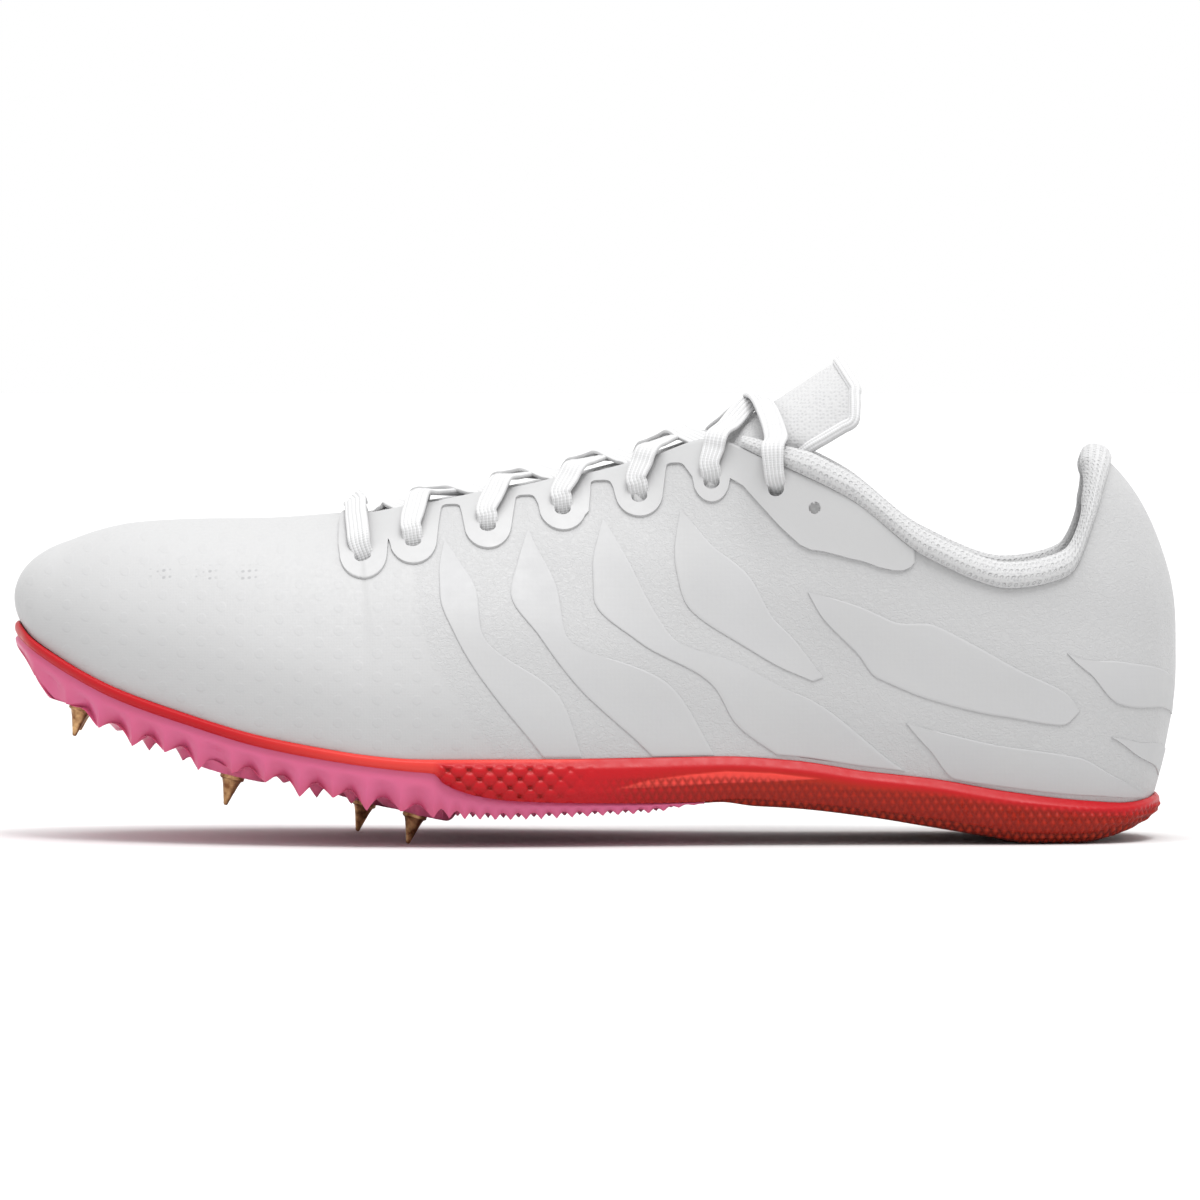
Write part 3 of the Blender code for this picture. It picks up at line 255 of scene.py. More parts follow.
# Smooth film panels on the crackled skin of the sides, each between two borders from its first to its
# last end: share of the length from the toe, height as a share of TOP_HEIGHT
Panel = namedtuple("Panel", "name one other")
PANELS = [
    Panel("leaf_1",
          [(0.3724, 0.739), (0.3681, 0.654), (0.3690, 0.605), (0.3819, 0.512), (0.4164, 0.362),
           (0.4569, 0.218)],
          [(0.3724, 0.739), (0.3862, 0.683), (0.4000, 0.614), (0.4043, 0.521), (0.4724, 0.355),
           (0.4897, 0.218)]),
    Panel("leaf_2",
          [(0.4440, 0.761), (0.4345, 0.681), (0.4293, 0.612), (0.4534, 0.509), (0.4931, 0.367),
           (0.5500, 0.218)],
          [(0.4440, 0.761), (0.4483, 0.734), (0.4690, 0.619), (0.4767, 0.509), (0.5655, 0.387),
           (0.6026, 0.220)]),
    Panel("leaf_3",
          [(0.5078, 0.788), (0.4991, 0.673), (0.5000, 0.602), (0.5388, 0.492), (0.6017, 0.387),
           (0.6216, 0.294), (0.6560, 0.220)],
          [(0.5078, 0.788), (0.5319, 0.673), (0.5509, 0.570), (0.5733, 0.490), (0.6595, 0.384),
           (0.6879, 0.348), (0.7655, 0.179)]),
    Panel("leaf_4",
          [(0.5741, 0.808), (0.5690, 0.700), (0.5733, 0.627), (0.5802, 0.578), (0.6224, 0.492),
           (0.6871, 0.397)],
          [(0.5741, 0.808), (0.6043, 0.715), (0.6336, 0.646), (0.6526, 0.551), (0.6672, 0.509),
           (0.6957, 0.406)]),
    Panel("heel_panel_upper",
          [(0.6828, 0.612), (0.7534, 0.543), (0.7914, 0.531), (0.8267, 0.480), (0.8716, 0.411),
           (0.9069, 0.357), (0.9147, 0.323)],
          [(0.6828, 0.612), (0.6948, 0.551), (0.7250, 0.463), (0.7422, 0.404), (0.7957, 0.345),
           (0.8483, 0.311), (0.9000, 0.289), (0.9147, 0.323)]),
    Panel("heel_panel_back",
          [(0.9043, 0.463), (0.9422, 0.443), (0.9853, 0.421), (0.9974, 0.394)],
          [(0.9043, 0.463), (0.9233, 0.414), (0.9491, 0.338), (0.9974, 0.304)]),
    Panel("heel_panel_corner",
          [(0.9422, 0.259), (0.9698, 0.242), (0.9957, 0.225)],
          [(0.9422, 0.259), (0.9655, 0.211), (0.9853, 0.157)]),
    Panel("heel_panel_lower",
          [(0.7664, 0.296), (0.7974, 0.272), (0.8267, 0.252), (0.8716, 0.230), (0.9129, 0.211),
           (0.9440, 0.164), (0.9716, 0.113)],
          [(0.7664, 0.296), (0.7871, 0.228), (0.8095, 0.157), (0.8578, 0.137), (0.9009, 0.122),
           (0.9353, 0.115), (0.9716, 0.110)]),
]

# Where the crackled skin starts behind the smooth vamp, as share and height
VAMP_EDGE = [(0.3457, 0.717), (0.3457, 0.695), (0.3483, 0.585), (0.3621, 0.460),
             (0.3853, 0.353), (0.4172, 0.218)]

# The tongue along its middle. height and radius are shares of TOP_HEIGHT, span the half width along
# its arc in shares of BALL_WIDTH, pad a share of TONGUE_THICKNESS
Flap = namedtuple("Flap", "place height span radius pad")
TONGUE = [
    Flap(0.285, 0.752, 0.12, 0.60, 0.50),
    Flap(0.340, 0.795, 0.20, 0.46, 0.60),
    Flap(0.400, 0.838, 0.24, 0.40, 0.70),
    Flap(0.460, 0.878, 0.27, 0.37, 0.80),
    Flap(0.520, 0.920, 0.29, 0.34, 0.90),
    Flap(0.580, 0.972, 0.29, 0.31, 1.00),
    Flap(0.630, 1.030, 0.28, 0.28, 1.15),
    Flap(0.670, 1.095, 0.28, 0.27, 1.25),
    Flap(0.695, 1.142, 0.28, 0.26, 1.20),
    Flap(0.710, 1.168, 0.20, 0.26, 0.90),
]

# Pins: tip place and height, side is a share of BALL_WIDTH
Pin = namedtuple("Pin", "name place side tip")
PINS = [
    Pin("spike_toe_outer", 0.053, 0.070, 0.252),
    Pin("spike_toe_inner", 0.053, -0.240, 0.252),
    Pin("spike_front_outer", 0.185, 0.260, 0.093),
    Pin("spike_front_inner", 0.185, -0.290, 0.093),
    Pin("spike_rear_outer", 0.341, 0.270, 0.000),
    Pin("spike_rear_inner", 0.294, -0.290, 0.000),
]


class Curve:
    """A smooth curve through rows that never overshoots, read at one place or at many."""

    def __init__(self, places, rows):
        self.places = np.array(places, float)
        self.rows = np.array(rows, float).reshape(len(places), -1)
        secant = np.diff(self.rows, axis=0) / np.diff(self.places)[:, None]
        before, after = secant[:-1], secant[1:]
        self.slopes = np.zeros_like(self.rows)
        rising = before * after > 0
        inner = np.zeros_like(before)
        inner[rising] = 2 * before[rising] * after[rising] / (before[rising] + after[rising])
        self.slopes[1:-1] = inner
        self.slopes[0], self.slopes[-1] = secant[0], secant[-1]

    def __call__(self, place):
        place = np.clip(np.asarray(place, float), self.places[0], self.places[-1])
        k = np.clip(np.searchsorted(self.places, place, side="right") - 1, 0, len(self.places) - 2)
        step = (self.places[k + 1] - self.places[k])[..., None]
        f = (place - self.places[k])[..., None] / step
        h00, h10 = (1 + 2 * f) * (1 - f) ** 2, f * (1 - f) ** 2
        h01, h11 = f * f * (3 - 2 * f), f * f * (f - 1)
        return (h00 * self.rows[k] + h10 * step * self.slopes[k]
                + h01 * self.rows[k + 1] + h11 * step * self.slopes[k + 1])


def unit(vectors):
    """Vectors at length one, along the last axis."""
    return vectors / np.maximum(np.linalg.norm(vectors, axis=-1, keepdims=True), 1e-12)


def along(place):
    """Y of a share of the length from the toe."""
    return (np.asarray(place) - 0.5) * LENGTH


def share_of(y):
    """Share of the length from the toe at Y."""
    return y / LENGTH + 0.5


def run_along(points):
    """Length along a row of points, from 0 at the first."""
    return np.concatenate([[0.0], np.cumsum(np.linalg.norm(np.diff(points, axis=0), axis=1))])


def smooth_step(low, high, value):
    """0 below low, 1 above high and smooth between."""
    f = np.clip((value - low) / (high - low), 0.0, 1.0)
    return f * f * (3 - 2 * f)


ridge_curve = Curve([r.place for r in RIDGE], [r.side for r in RIDGE])
sole_curve = Curve([s.place for s in SOLE], [s[1:] for s in SOLE])


def ridge_side(place):
    """X of the ridge line."""
    return ridge_curve(place)[..., 0] * BALL_WIDTH


class Last:
    """The upper's outer surface: place walks toe, outer side, heel, inner side and back to the toe,
    one unit a row, and rise goes from the foot (0) to the rim (1)."""

    def __init__(self):
        self.count = len(FOOT) - 1
        rows = [self.row(k, 1) for k in range(self.count + 1)]
        rows += [self.row(k, -1) for k in range(self.count - 1, 0, -1)]
        self.turn = len(rows)
        self.curve = Curve(range(-3, self.turn + 4), rows[-3:] + rows + rows[:4])
        self.shift = np.zeros(3)
        places, rises = np.meshgrid(np.arange(0, self.turn, 1 / STEPS_ROUND),
                                    np.linspace(0, 1, STEPS_UP + 1))
        points = self.point(places, rises).reshape(-1, 3)
        low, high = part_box("upper")
        middle = (np.array(low) + np.array(high)) / 2 - (points.min(axis=0) + points.max(axis=0)) / 2
        self.shift = np.array([middle[0], middle[1], 0.0])

    def row(self, k, side):
        foot, rim, swell = FOOT[k], RIM[k], SWELL[k]
        x = (foot.outer if side > 0 else foot.inner) * BALL_WIDTH
        rim_x = ridge_side(rim.place) + side * rim.gap * BALL_WIDTH
        return [x, along(foot.place), foot.height * TOP_HEIGHT,
                rim_x, along(rim.place), rim.height * TOP_HEIGHT,
                *(value * BALL_WIDTH for value in swell)]

    def outward(self, place):
        """Unit vector away from the shoe, seen from above."""
        ahead, behind = self.curve(place + 0.1), self.curve(place - 0.1)
        run = ahead[..., 0:2] - behind[..., 0:2]
        return unit(np.stack([run[..., 1], -run[..., 0], np.zeros_like(run[..., 0])], axis=-1))

    def point(self, place, rise):
        place = np.mod(place, self.turn)
        row = self.curve(place)
        foot, rim = row[..., 0:3], row[..., 3:6]
        flare, lift, reach, drop = (row[..., k:k + 1] for k in (6, 7, 8, 9))
        away = self.outward(place)
        wide = np.where(foot[..., 1:2] < 0, 3.0, 1.0)
        over = unit(away * np.concatenate([wide, np.ones_like(wide), np.ones_like(wide)], axis=-1))
        up = np.array([0.0, 0.0, 1.0])
        low = foot + away * flare + up * lift
        high = rim + over * reach - up * drop
        r = np.asarray(rise, float)[..., None]
        s = 1 - r
        return s ** 3 * foot + 3 * s * s * r * low + 3 * s * r * r * high + r ** 3 * rim + self.shift

    def normal(self, place, rise):
        rise = np.asarray(rise, float)
        around = self.point(place + 0.04, rise) - self.point(place - 0.04, rise)
        above, below = np.minimum(rise + 0.02, 1.0), np.maximum(rise - 0.02, 0.0)
        upward = self.point(place, above) - self.point(place, below)
        return unit(np.cross(around, upward))

    def lifted(self, place, rise, height):
        """Points that far outside the surface, or inside it where height is negative."""
        return self.point(place, rise) + self.normal(place, rise) * np.asarray(height)[..., None]

    def find(self, share, height):
        """Place and rise of the outer side's point at that share of the length and that height."""
        goal = np.array([along(share), height * TOP_HEIGHT])
        places, rises = np.meshgrid(np.arange(1.0, self.count, 0.25), np.arange(0.0, 1.0, 0.05))
        spots = self.point(places, rises)[..., 1:3] - self.shift[1:3]
        best = np.argmin(((spots - goal) ** 2).sum(axis=-1))
        place, rise = float(places.flat[best]), float(rises.flat[best])
        for _ in range(12):
            here = self.point(place, rise)[1:3] - self.shift[1:3]
            by_place = (self.point(place + 0.01, rise)[1:3] - self.shift[1:3] - here) / 0.01
            by_rise = (self.point(place, rise + 0.01)[1:3] - self.shift[1:3] - here) / 0.01
            move = np.linalg.lstsq(np.array([by_place, by_rise]).T, goal - here, rcond=None)[0]
            place += float(np.clip(move[0], -0.3, 0.3))
            rise = float(np.clip(rise + np.clip(move[1], -0.1, 0.1), 0.0, 0.985))
        return place, rise

    def mirrored(self, place):
        """The same place on the other side."""
        return self.turn - place


last = Last()


def foot_height(y):
    """Height of the sole edge at Y."""
    p = np.linspace(0, last.count, 20 * last.count + 1)
    rows = last.curve(p)
    return np.interp(y, rows[:, 1], rows[:, 2])


def split_height(y):
    """Height of the foam's underside."""
    return sole_curve(share_of(y))[..., 0] * TOP_HEIGHT


def base_height(y):
    """Height of the underside of plate and heel rubber, without teeth."""
    return np.minimum(sole_curve(share_of(y))[..., 1] * TOP_HEIGHT, split_height(y) - GAP - 0.0008)


def arch_height(y):
    """The underside of plate and rubber, drawn up to the foam where the two meet under the arch."""
    near = 1 - smooth_step(0.004, 0.045, np.abs(share_of(y) - ARCH_JOINT))
    return base_height(y) + (split_height(y) - GAP - 0.0004 - base_height(y)) * near * 0.8


def side_swell(y):
    """How far the sole's side stands out past its margin."""
    return sole_curve(share_of(y))[..., 2] * BALL_WIDTH


def lofted(name, points, round_closed=False, ends=False, values=None, lengths=None, angle=40):
    """A mesh through a grid of points, its second direction closed if asked. Coinciding points are
    merged, and open first and last rows are filled where ends says so. values are kept per vertex
    for the materials, and lengths, a pair per grid point, as the UV map run."""
    values = dict(values or {})
    if round_closed:
        points = np.concatenate([points, points[:, :1]], axis=1)
        values = {key: np.concatenate([value, value[:, :1]], axis=1) for key, value in values.items()}
    n, m = points.shape[:2]
    bm = bmesh.new()
    bmesh.ops.create_grid(bm, x_segments=n - 1, y_segments=m - 1, size=0.5)
    layers = [(bm.verts.layers.float.new(key), value) for key, value in values.items()]
    cells = {}
    for v in bm.verts:
        i = round((v.co.x + 0.5) * (n - 1))
        j = round((v.co.y + 0.5) * (m - 1))
        cells[v] = (i, j)
        v.co = points[i, j]
        for layer, value in layers:
            v[layer] = value[i, j]
    if lengths is not None:
        run = bm.loops.layers.uv.new("run")
        for f in bm.faces:
            for loop in f.loops:
                loop[run].uv = lengths[cells[loop.vert]]
    bmesh.ops.remove_doubles(bm, verts=bm.verts, dist=2e-6)
    if ends:
        rims = [e for e in bm.edges if e.is_boundary]
        bmesh.ops.holes_fill(bm, edges=rims, sides=0)
    bmesh.ops.dissolve_degenerate(bm, edges=bm.edges, dist=1e-6)
    bmesh.ops.recalc_face_normals(bm, faces=bm.faces)
    return finished(name, bm, angle)


def finished(name, bm, angle=40):
    """The object of a bmesh, shaded smooth up to that angle."""
    mesh = bpy.data.meshes.new(name)
    bm.to_mesh(mesh)
    bm.free()
    mesh.shade_smooth()
    mesh.set_sharp_from_angle(angle=math.radians(angle))
    made = bpy.data.objects.new(name, mesh)
    bpy.context.collection.objects.link(made)
    return made


def coordinates(thing):
    """The vertices' places as an array."""
    mesh = thing.data
    co = np.zeros(len(mesh.vertices) * 3)
    mesh.vertices.foreach_get("co", co)
    return co.reshape(-1, 3)


def displaced(thing, height):
    """Move each vertex along its normal by height(co)."""
    co = coordinates(thing)
    normals = np.array([v.normal for v in thing.data.vertices])
    moved = co + normals * height(co)[:, None]
    thing.data.vertices.foreach_set("co", moved.ravel())
    thing.data.update()


def marked(thing, name, values):
    """Store a value per vertex for the materials to read."""
    layer = thing.data.attributes.new(name, "FLOAT", "POINT")
    layer.data.foreach_set("value", np.asarray(values, np.float32))


def placed(thing, material, slot, *nodes):
    """Give the piece its material, let it ride and stand for its nodes; slot is not used."""
    thing.data.materials.clear()
    thing.data.materials.append(material)
    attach(thing, "root")
    if nodes:
        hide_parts(*nodes)
    return thing


def subtract(target, cutter):
    """Cut the cutter from the target for good and drop it."""
    modifier = target.modifiers.new("cut", "BOOLEAN")
    modifier.operation = "DIFFERENCE"
    modifier.solver = "MANIFOLD"
    modifier.object = cutter
    bpy.context.view_layer.update()
    shape = bpy.data.meshes.new_from_object(target.evaluated_get(bpy.context.evaluated_depsgraph_get()))
    target.modifiers.clear()
    old = target.data
    target.data = shape
    shape.name = target.name
    bpy.data.meshes.remove(old)
    bpy.data.objects.remove(cutter, do_unlink=True)


class Nodes:
    """A material's node tree, with short calls for the nodes that this shoe uses."""

    def __init__(self, name, colour, roughness, metallic=0.0):
        self.material = bpy.data.materials.new(name)
        self.material.use_nodes = True
        self.tree = self.material.node_tree
        self.shader = self.tree.nodes["Principled BSDF"]
        self.constants(Base_Color=(*colour, 1.0), Roughness=roughness, Metallic=metallic)
        self.place = self.tree.nodes.new("ShaderNodeTexCoord").outputs["Object"]
        self.bump_end = None

    def add(self, kind, **inputs):
        node = self.tree.nodes.new(kind)
        for name, value in inputs.items():
            self.put(node.inputs[name.replace("_", " ")], value)
        return node

    def put(self, socket, value):
        if isinstance(value, bpy.types.NodeSocket):
            self.tree.links.new(value, socket)
        else:
            socket.default_value = value

    def stretched(self, scale, source=None):
        """Coordinates scaled by a vector."""
        return self.add("ShaderNodeMapping", Vector=source or self.place, Scale=scale).outputs[0]

    def noise(self, scale, detail=3.0, source=None, distortion=0.0):
        return self.add("ShaderNodeTexNoise", Vector=source or self.place, Scale=scale, Detail=detail,
                        Distortion=distortion).outputs[0]

    def cells(self, scale, feature="DISTANCE_TO_EDGE", source=None, randomness=1.0):
        node = self.add("ShaderNodeTexVoronoi", Vector=source or self.place, Scale=scale,
                        Randomness=randomness)
        node.feature = feature
        return node.outputs["Distance"]

    def wave(self, scale, direction="X", source=None, distortion=0.0):
        node = self.add("ShaderNodeTexWave", Vector=source or self.place, Scale=scale,
                        Distortion=distortion)
        node.bands_direction = direction
        return node.outputs["Fac"]

    def attribute(self, name):
        node = self.tree.nodes.new("ShaderNodeAttribute")
        node.attribute_name = name
        return node.outputs["Fac"]

    def math(self, operation, a, b=0.0):
        node = self.tree.nodes.new("ShaderNodeMath")
        node.operation = operation
        for socket, value in zip(node.inputs, (a, b)):
            self.put(socket, value)
        return node.outputs[0]

    def spread(self, value, low, high, to_low=0.0, to_high=1.0):
        node = self.add("ShaderNodeMapRange", Value=value)
        for name, number in zip(("From Min", "From Max", "To Min", "To Max"), (low, high, to_low, to_high)):
            self.put(node.inputs[name], number)
        return node.outputs[0]

    def mix(self, factor, a, b):
        node = self.tree.nodes.new("ShaderNodeMix")
        node.data_type = "RGBA"
        self.put(node.inputs["Factor"], factor)
        for name, value in (("A", a), ("B", b)):
            socket = [s for s in node.inputs if s.name == name and s.type == "RGBA"][0]
            self.put(socket, (*value, 1.0) if isinstance(value, tuple) and len(value) == 3 else value)
        return [s for s in node.outputs if s.type == "RGBA"][0]

    def bump(self, height, distance, strength=1.0):
        """One more layer of bump, its height 0 to 1 over that distance in metres."""
        node = self.add("ShaderNodeBump", Height=height, Distance=distance, Strength=strength)
        if self.bump_end:
            self.put(node.inputs["Normal"], self.bump_end)
        self.bump_end = node.outputs[0]
        self.put(self.shader.inputs["Normal"], self.bump_end)

    def colour(self, value):
        self.put(self.shader.inputs["Base Color"], value)

    def roughness(self, value):
        self.put(self.shader.inputs["Roughness"], value)

    def constants(self, **values):
        """Constants on the shader's own sockets."""
        for name, value in values.items():
            self.shader.inputs[name.replace("_", " ")].default_value = value

    def sheen(self, amount, roughness=0.4):
        self.constants(Sheen_Weight=amount, Sheen_Roughness=roughness)


def crinkled_mesh(looks):
    """Thin white synthetic: fine fibrous wrinkles and small cells where the attribute crinkle says so, with
    painted shade in their creases, faint hexagons elsewhere, and small vents where the attribute vents does,
    painted as dark dots."""
    made = Nodes("crinkled_mesh", looks.upper_white, 0.6)
    rough = made.attribute("crinkle")
    fold = made.noise(760.0, 4.0, made.stretched((1.0, 1.0, 1.35)), 0.9)
    ridge = made.math("ABSOLUTE", made.math("SUBTRACT", fold, 0.5))
    ridge = made.spread(ridge, 0.0, 0.14, 1.0, 0.0)
    cell = made.spread(made.cells(330.0), 0.0, 0.10, 1.0, 0.0)
    field = made.math("MULTIPLY", made.math("ADD", ridge, made.math("MULTIPLY", cell, 0.5)), rough)
    smooth = made.math("SUBTRACT", 1.0, rough)
    waves = made.wave(HEXAGONS, "Y", made.stretched((0.0, 1.0, 0.0)))
    for turn in (1.05, -1.05):
        tilted = made.add("ShaderNodeMapping", Vector=made.place, Rotation=(turn, 0.6 * turn, 0.0))
        waves = made.math("ADD", waves, made.wave(HEXAGONS, "Y", tilted.outputs[0]))
    net = made.math("MULTIPLY", made.spread(waves, 0.55, 0.95, 1.0, 0.0), smooth)
    made.bump(net, 0.00008, 0.5)
    # Painted shade: dark dots stand for the vent holes, which are not cut
    vent_shade = made.spread(made.cells(620.0, feature="F1", randomness=0.0), 0.22, 0.34, 1.0, 0.0)
    vent_shade = made.math("MULTIPLY", vent_shade, made.attribute("vents"))
    made.bump(made.cells(1500.0, feature="F1", randomness=0.35), 0.00006, 0.4)
    made.bump(made.noise(90.0, 3.0), 0.00040, 0.35)
    made.bump(field, 0.00010, 0.5)
    # Painted shade: wrinkle creases and cell cracks mixed toward grey; the hexagon net's lines a little
    # darker too
    crease_shade_and_net = made.math("ADD", made.math("MULTIPLY", field, 0.10), made.math("MULTIPLY", net, 0.05))
    base = made.mix(crease_shade_and_net, tuple(looks.upper_white), (0.33, 0.33, 0.34))
    made.colour(made.mix(made.math("MULTIPLY", vent_shade, 0.5), base, (0.20, 0.20, 0.21)))
    made.roughness(made.spread(made.noise(900.0, 2.0), 0.3, 0.7, 0.50, 0.68))
    made.sheen(0.15)
    return made.material


def smooth_film(looks):
    """Welded white film with a satin face and a faint orange-peel."""
    made = Nodes("smooth_film", looks.film_white, 0.42)
    made.bump(made.noise(700.0, 3.0), 0.00006, 0.5)
    made.bump(made.noise(80.0, 3.0), 0.00035, 0.3)
    made.roughness(made.spread(made.noise(350.0, 3.0), 0.3, 0.7, 0.40, 0.54))
    return made.material


def panel_film(looks):
    """Thinner film of the side panels, over a skin that prints through a little."""
    made = Nodes("panel_film", looks.upper_white, 0.5)
    cloud = made.noise(70.0, 3.0)
    made.bump(made.cells(900.0, feature="F1", randomness=0.3), 0.00004, 0.4)
    made.bump(made.noise(90.0, 3.0), 0.00040, 0.35)
    made.colour(made.mix(made.spread(cloud, 0.3, 0.7), tuple(looks.upper_white), (0.415, 0.415, 0.42)))
    made.roughness(made.spread(made.noise(350.0, 3.0), 0.3, 0.7, 0.46, 0.60))
    return made.material


def soft_knit(name, looks, scale):
    """White padded knit with small open cells."""
    made = Nodes(name, looks.knit_white, 0.85)
    cell = made.cells(scale, feature="F1", randomness=0.5)
    made.bump(made.spread(cell, 0.1, 0.6), 0.00018, 0.6)
    made.bump(made.noise(220.0, 4.0), 0.00030, 0.4)
    # Painted shade: darker grey in the open cells' hollows
    made.colour(made.mix(made.spread(cell, 0.05, 0.45), (0.41, 0.41, 0.42), tuple(looks.knit_white)))
    made.sheen(0.3, 0.5)
    return made


def tongue_knit(looks):
    """The tongue's knit, brushed into soft clouds."""
    made = soft_knit("tongue_knit", looks, 1100.0)
    made.bump(made.noise(110.0, 3.0, distortion=0.8), 0.0008, 0.35)
    return made.material


def collar_knit(looks):
    """The collar's knit with rows of short slanting pits round the roll."""
    made = soft_knit("collar_knit", looks, 1300.0)
    run = made.tree.nodes.new("ShaderNodeUVMap").outputs[0]
    slant = made.add("ShaderNodeMapping", Vector=run, Rotation=(0.0, 0.0, 0.45)).outputs[0]
    pits = made.math("MULTIPLY", made.wave(240.0, "X", slant), made.wave(175.0, "Y", run))
    pits = made.spread(pits, 0.35, 0.80, 1.0, 0.0)
    made.bump(pits, 0.00035, 0.75)
    return made.material


def woven_lace(looks, name):
    """Flat white weave: ribs along its length from its own UV map, with a fine weave across."""
    made = Nodes(name, looks.lace_white, 0.8)
    run = made.tree.nodes.new("ShaderNodeUVMap").outputs[0]
    ribs = made.wave(300.0, "Y", run)
    weave = made.wave(560.0, "X", run, 1.0)
    made.bump(ribs, 0.00020, 0.7)
    made.bump(weave, 0.00010, 0.5)
    made.colour(made.mix(made.spread(ribs, 0.0, 0.5), (0.66, 0.66, 0.67), tuple(looks.lace_white)))
    made.sheen(0.3)
    return made.material


def brushed_textile(looks):
    """Grey brushed cloth of the insole."""
    made = Nodes("brushed_textile", looks.insole_grey, 0.9)
    fibre = made.noise(900.0, 4.0, made.stretched((1.0, 0.35, 1.0)))
    made.bump(fibre, 0.00020, 0.6)
    made.colour(made.mix(made.spread(fibre, 0.3, 0.7), (0.48, 0.48, 0.50), tuple(looks.insole_grey)))
    made.sheen(0.4)
    return made.material


def moulded_foam(looks):
    """Red foam, crimson above and orange where the attribute tone says so; coral where the attribute light
    says so, the strip's own colour and a painted highlight; painted shade in the pits.
    """
    made = Nodes("moulded_foam", looks.foam_red, 0.36)
    base = made.mix(made.attribute("tone"), tuple(looks.foam_red), tuple(looks.rubber_orange))
    # Painted highlight: coral on the front line, lip and nose; the strip is coral of its own
    base = made.mix(made.attribute("light"), base, tuple(looks.coral_strip_and_highlight))
    # Painted shade: dark red in the pits between domes and nubs
    groove = made.spread(made.attribute("groove"), 0.25, 0.95, 0.0, 0.75)
    base = made.mix(groove, base, (0.22, 0.008, 0.003))
    made.colour(base)
    made.bump(made.noise(1600.0, 3.0), 0.00006, 0.5)
    made.roughness(made.spread(made.noise(400.0, 3.0), 0.3, 0.7, 0.32, 0.46))
    made.constants(Specular_IOR_Level=0.22, Subsurface_Weight=0.08, Subsurface_Radius=(0.004, 0.001, 0.0008))
    return made.material


def heel_rubber(looks):
    """Orange-red rubber, with painted shade in the grooves between its nubs."""
    made = Nodes("heel_rubber", looks.rubber_orange, 0.45)
    worn = made.noise(260.0, 3.0)
    base = made.mix(made.spread(worn, 0.35, 0.65), tuple(looks.rubber_orange), (0.36, 0.024, 0.005))
    # Painted shade: near black-red in the grooves between the nubs
    groove = made.spread(made.attribute("groove"), 0.25, 0.95, 0.0, 0.9)
    made.colour(made.mix(groove, base, (0.09, 0.004, 0.002)))
    made.bump(made.noise(2200.0, 3.0), 0.00007, 0.5)
    made.roughness(made.spread(worn, 0.3, 0.7, 0.38, 0.55))
    made.constants(Specular_IOR_Level=0.2)
    return made.material


def moulded_plate(looks):
    """Pink nylon with a soft gloss, clouded, with a painted highlight toward its upper edge."""
    made = Nodes("moulded_plate", looks.plate_pink, 0.34)
    cloud = made.noise(60.0, 3.0)
    base = made.mix(made.spread(cloud, 0.3, 0.7), tuple(looks.plate_pink), (0.52, 0.09, 0.19))
    # Painted highlight: lighter pink along the top of the side, where the attribute edge says so
    base = made.mix(made.math("MULTIPLY", made.attribute("edge"), 0.4), base, (0.60, 0.13, 0.27))
    made.colour(base)
    made.bump(made.noise(1200.0, 2.0), 0.00005, 0.5)
    made.roughness(made.spread(made.noise(300.0, 2.0), 0.3, 0.7, 0.28, 0.42))
    made.constants(Specular_IOR_Level=0.3, Subsurface_Weight=0.12, Subsurface_Radius=(0.006, 0.002, 0.003))
    return made.material


def plated_steel(looks):
    """Brownish plated steel of the pins, turned and a little worn."""
    made = Nodes("plated_steel", looks.pin_bronze, 0.34, 0.9)
    turned = made.wave(900.0, "Z", distortion=0.4)
    made.bump(turned, 0.00003, 0.5)
    made.colour(made.mix(made.spread(made.noise(500.0, 3.0), 0.35, 0.7), tuple(looks.pin_bronze),
                         (0.62, 0.38, 0.18)))
    made.roughness(made.spread(made.noise(700.0, 3.0), 0.3, 0.7, 0.25, 0.45))
    return made.material


def crinkle_field(co):
    """Where the upper's skin is crackled, 0 on the smooth vamp and 1 behind its edge."""
    share = share_of(co[:, 1] - last.shift[1])
    height = co[:, 2] / TOP_HEIGHT
    edge = np.array(sorted(VAMP_EDGE, key=lambda spot: spot[1]))
    start = np.interp(height, edge[:, 1], edge[:, 0])
    return smooth_step(-0.002, 0.002, share - start)


def vent_field(co):
    """Where the toe has small vents, painted as dark dots of shade: three groups along each side of its top.
    """
    share = share_of(co[:, 1] - last.shift[1])
    near = np.min([np.abs(share - spot) for spot in VENT_PLACES], axis=0)
    level = np.abs(co[:, 2] - VENT_HEIGHT * TOP_HEIGHT)
    return (1 - smooth_step(0.008, 0.010, near)) * (1 - smooth_step(0.0015, 0.0022, level))


def skin_relief(co):
    """Soft pulls and folds of the thin skin, metres: small swells between the eyelets and over the toe."""
    share, height = share_of(co[:, 1]), co[:, 2] / TOP_HEIGHT
    pulls = 0.00022 * np.sin(share * 2 * math.pi / 0.064) * smooth_step(0.55, 0.75, height)
    pulls = pulls * smooth_step(0.30, 0.36, share) * (1 - smooth_step(0.62, 0.70, share))
    slow = 0.00025 * np.sin(share * 31.0 + height * 9.0) * np.sin(height * 17.0 - share * 12.0)
    return pulls + slow


def eyelet_spots():
    """Place and rise of every eyelet of the outer side, and whether it is laced."""
    return [(*last.find(e.place, e.height), e.laced) for e in EYELETS]


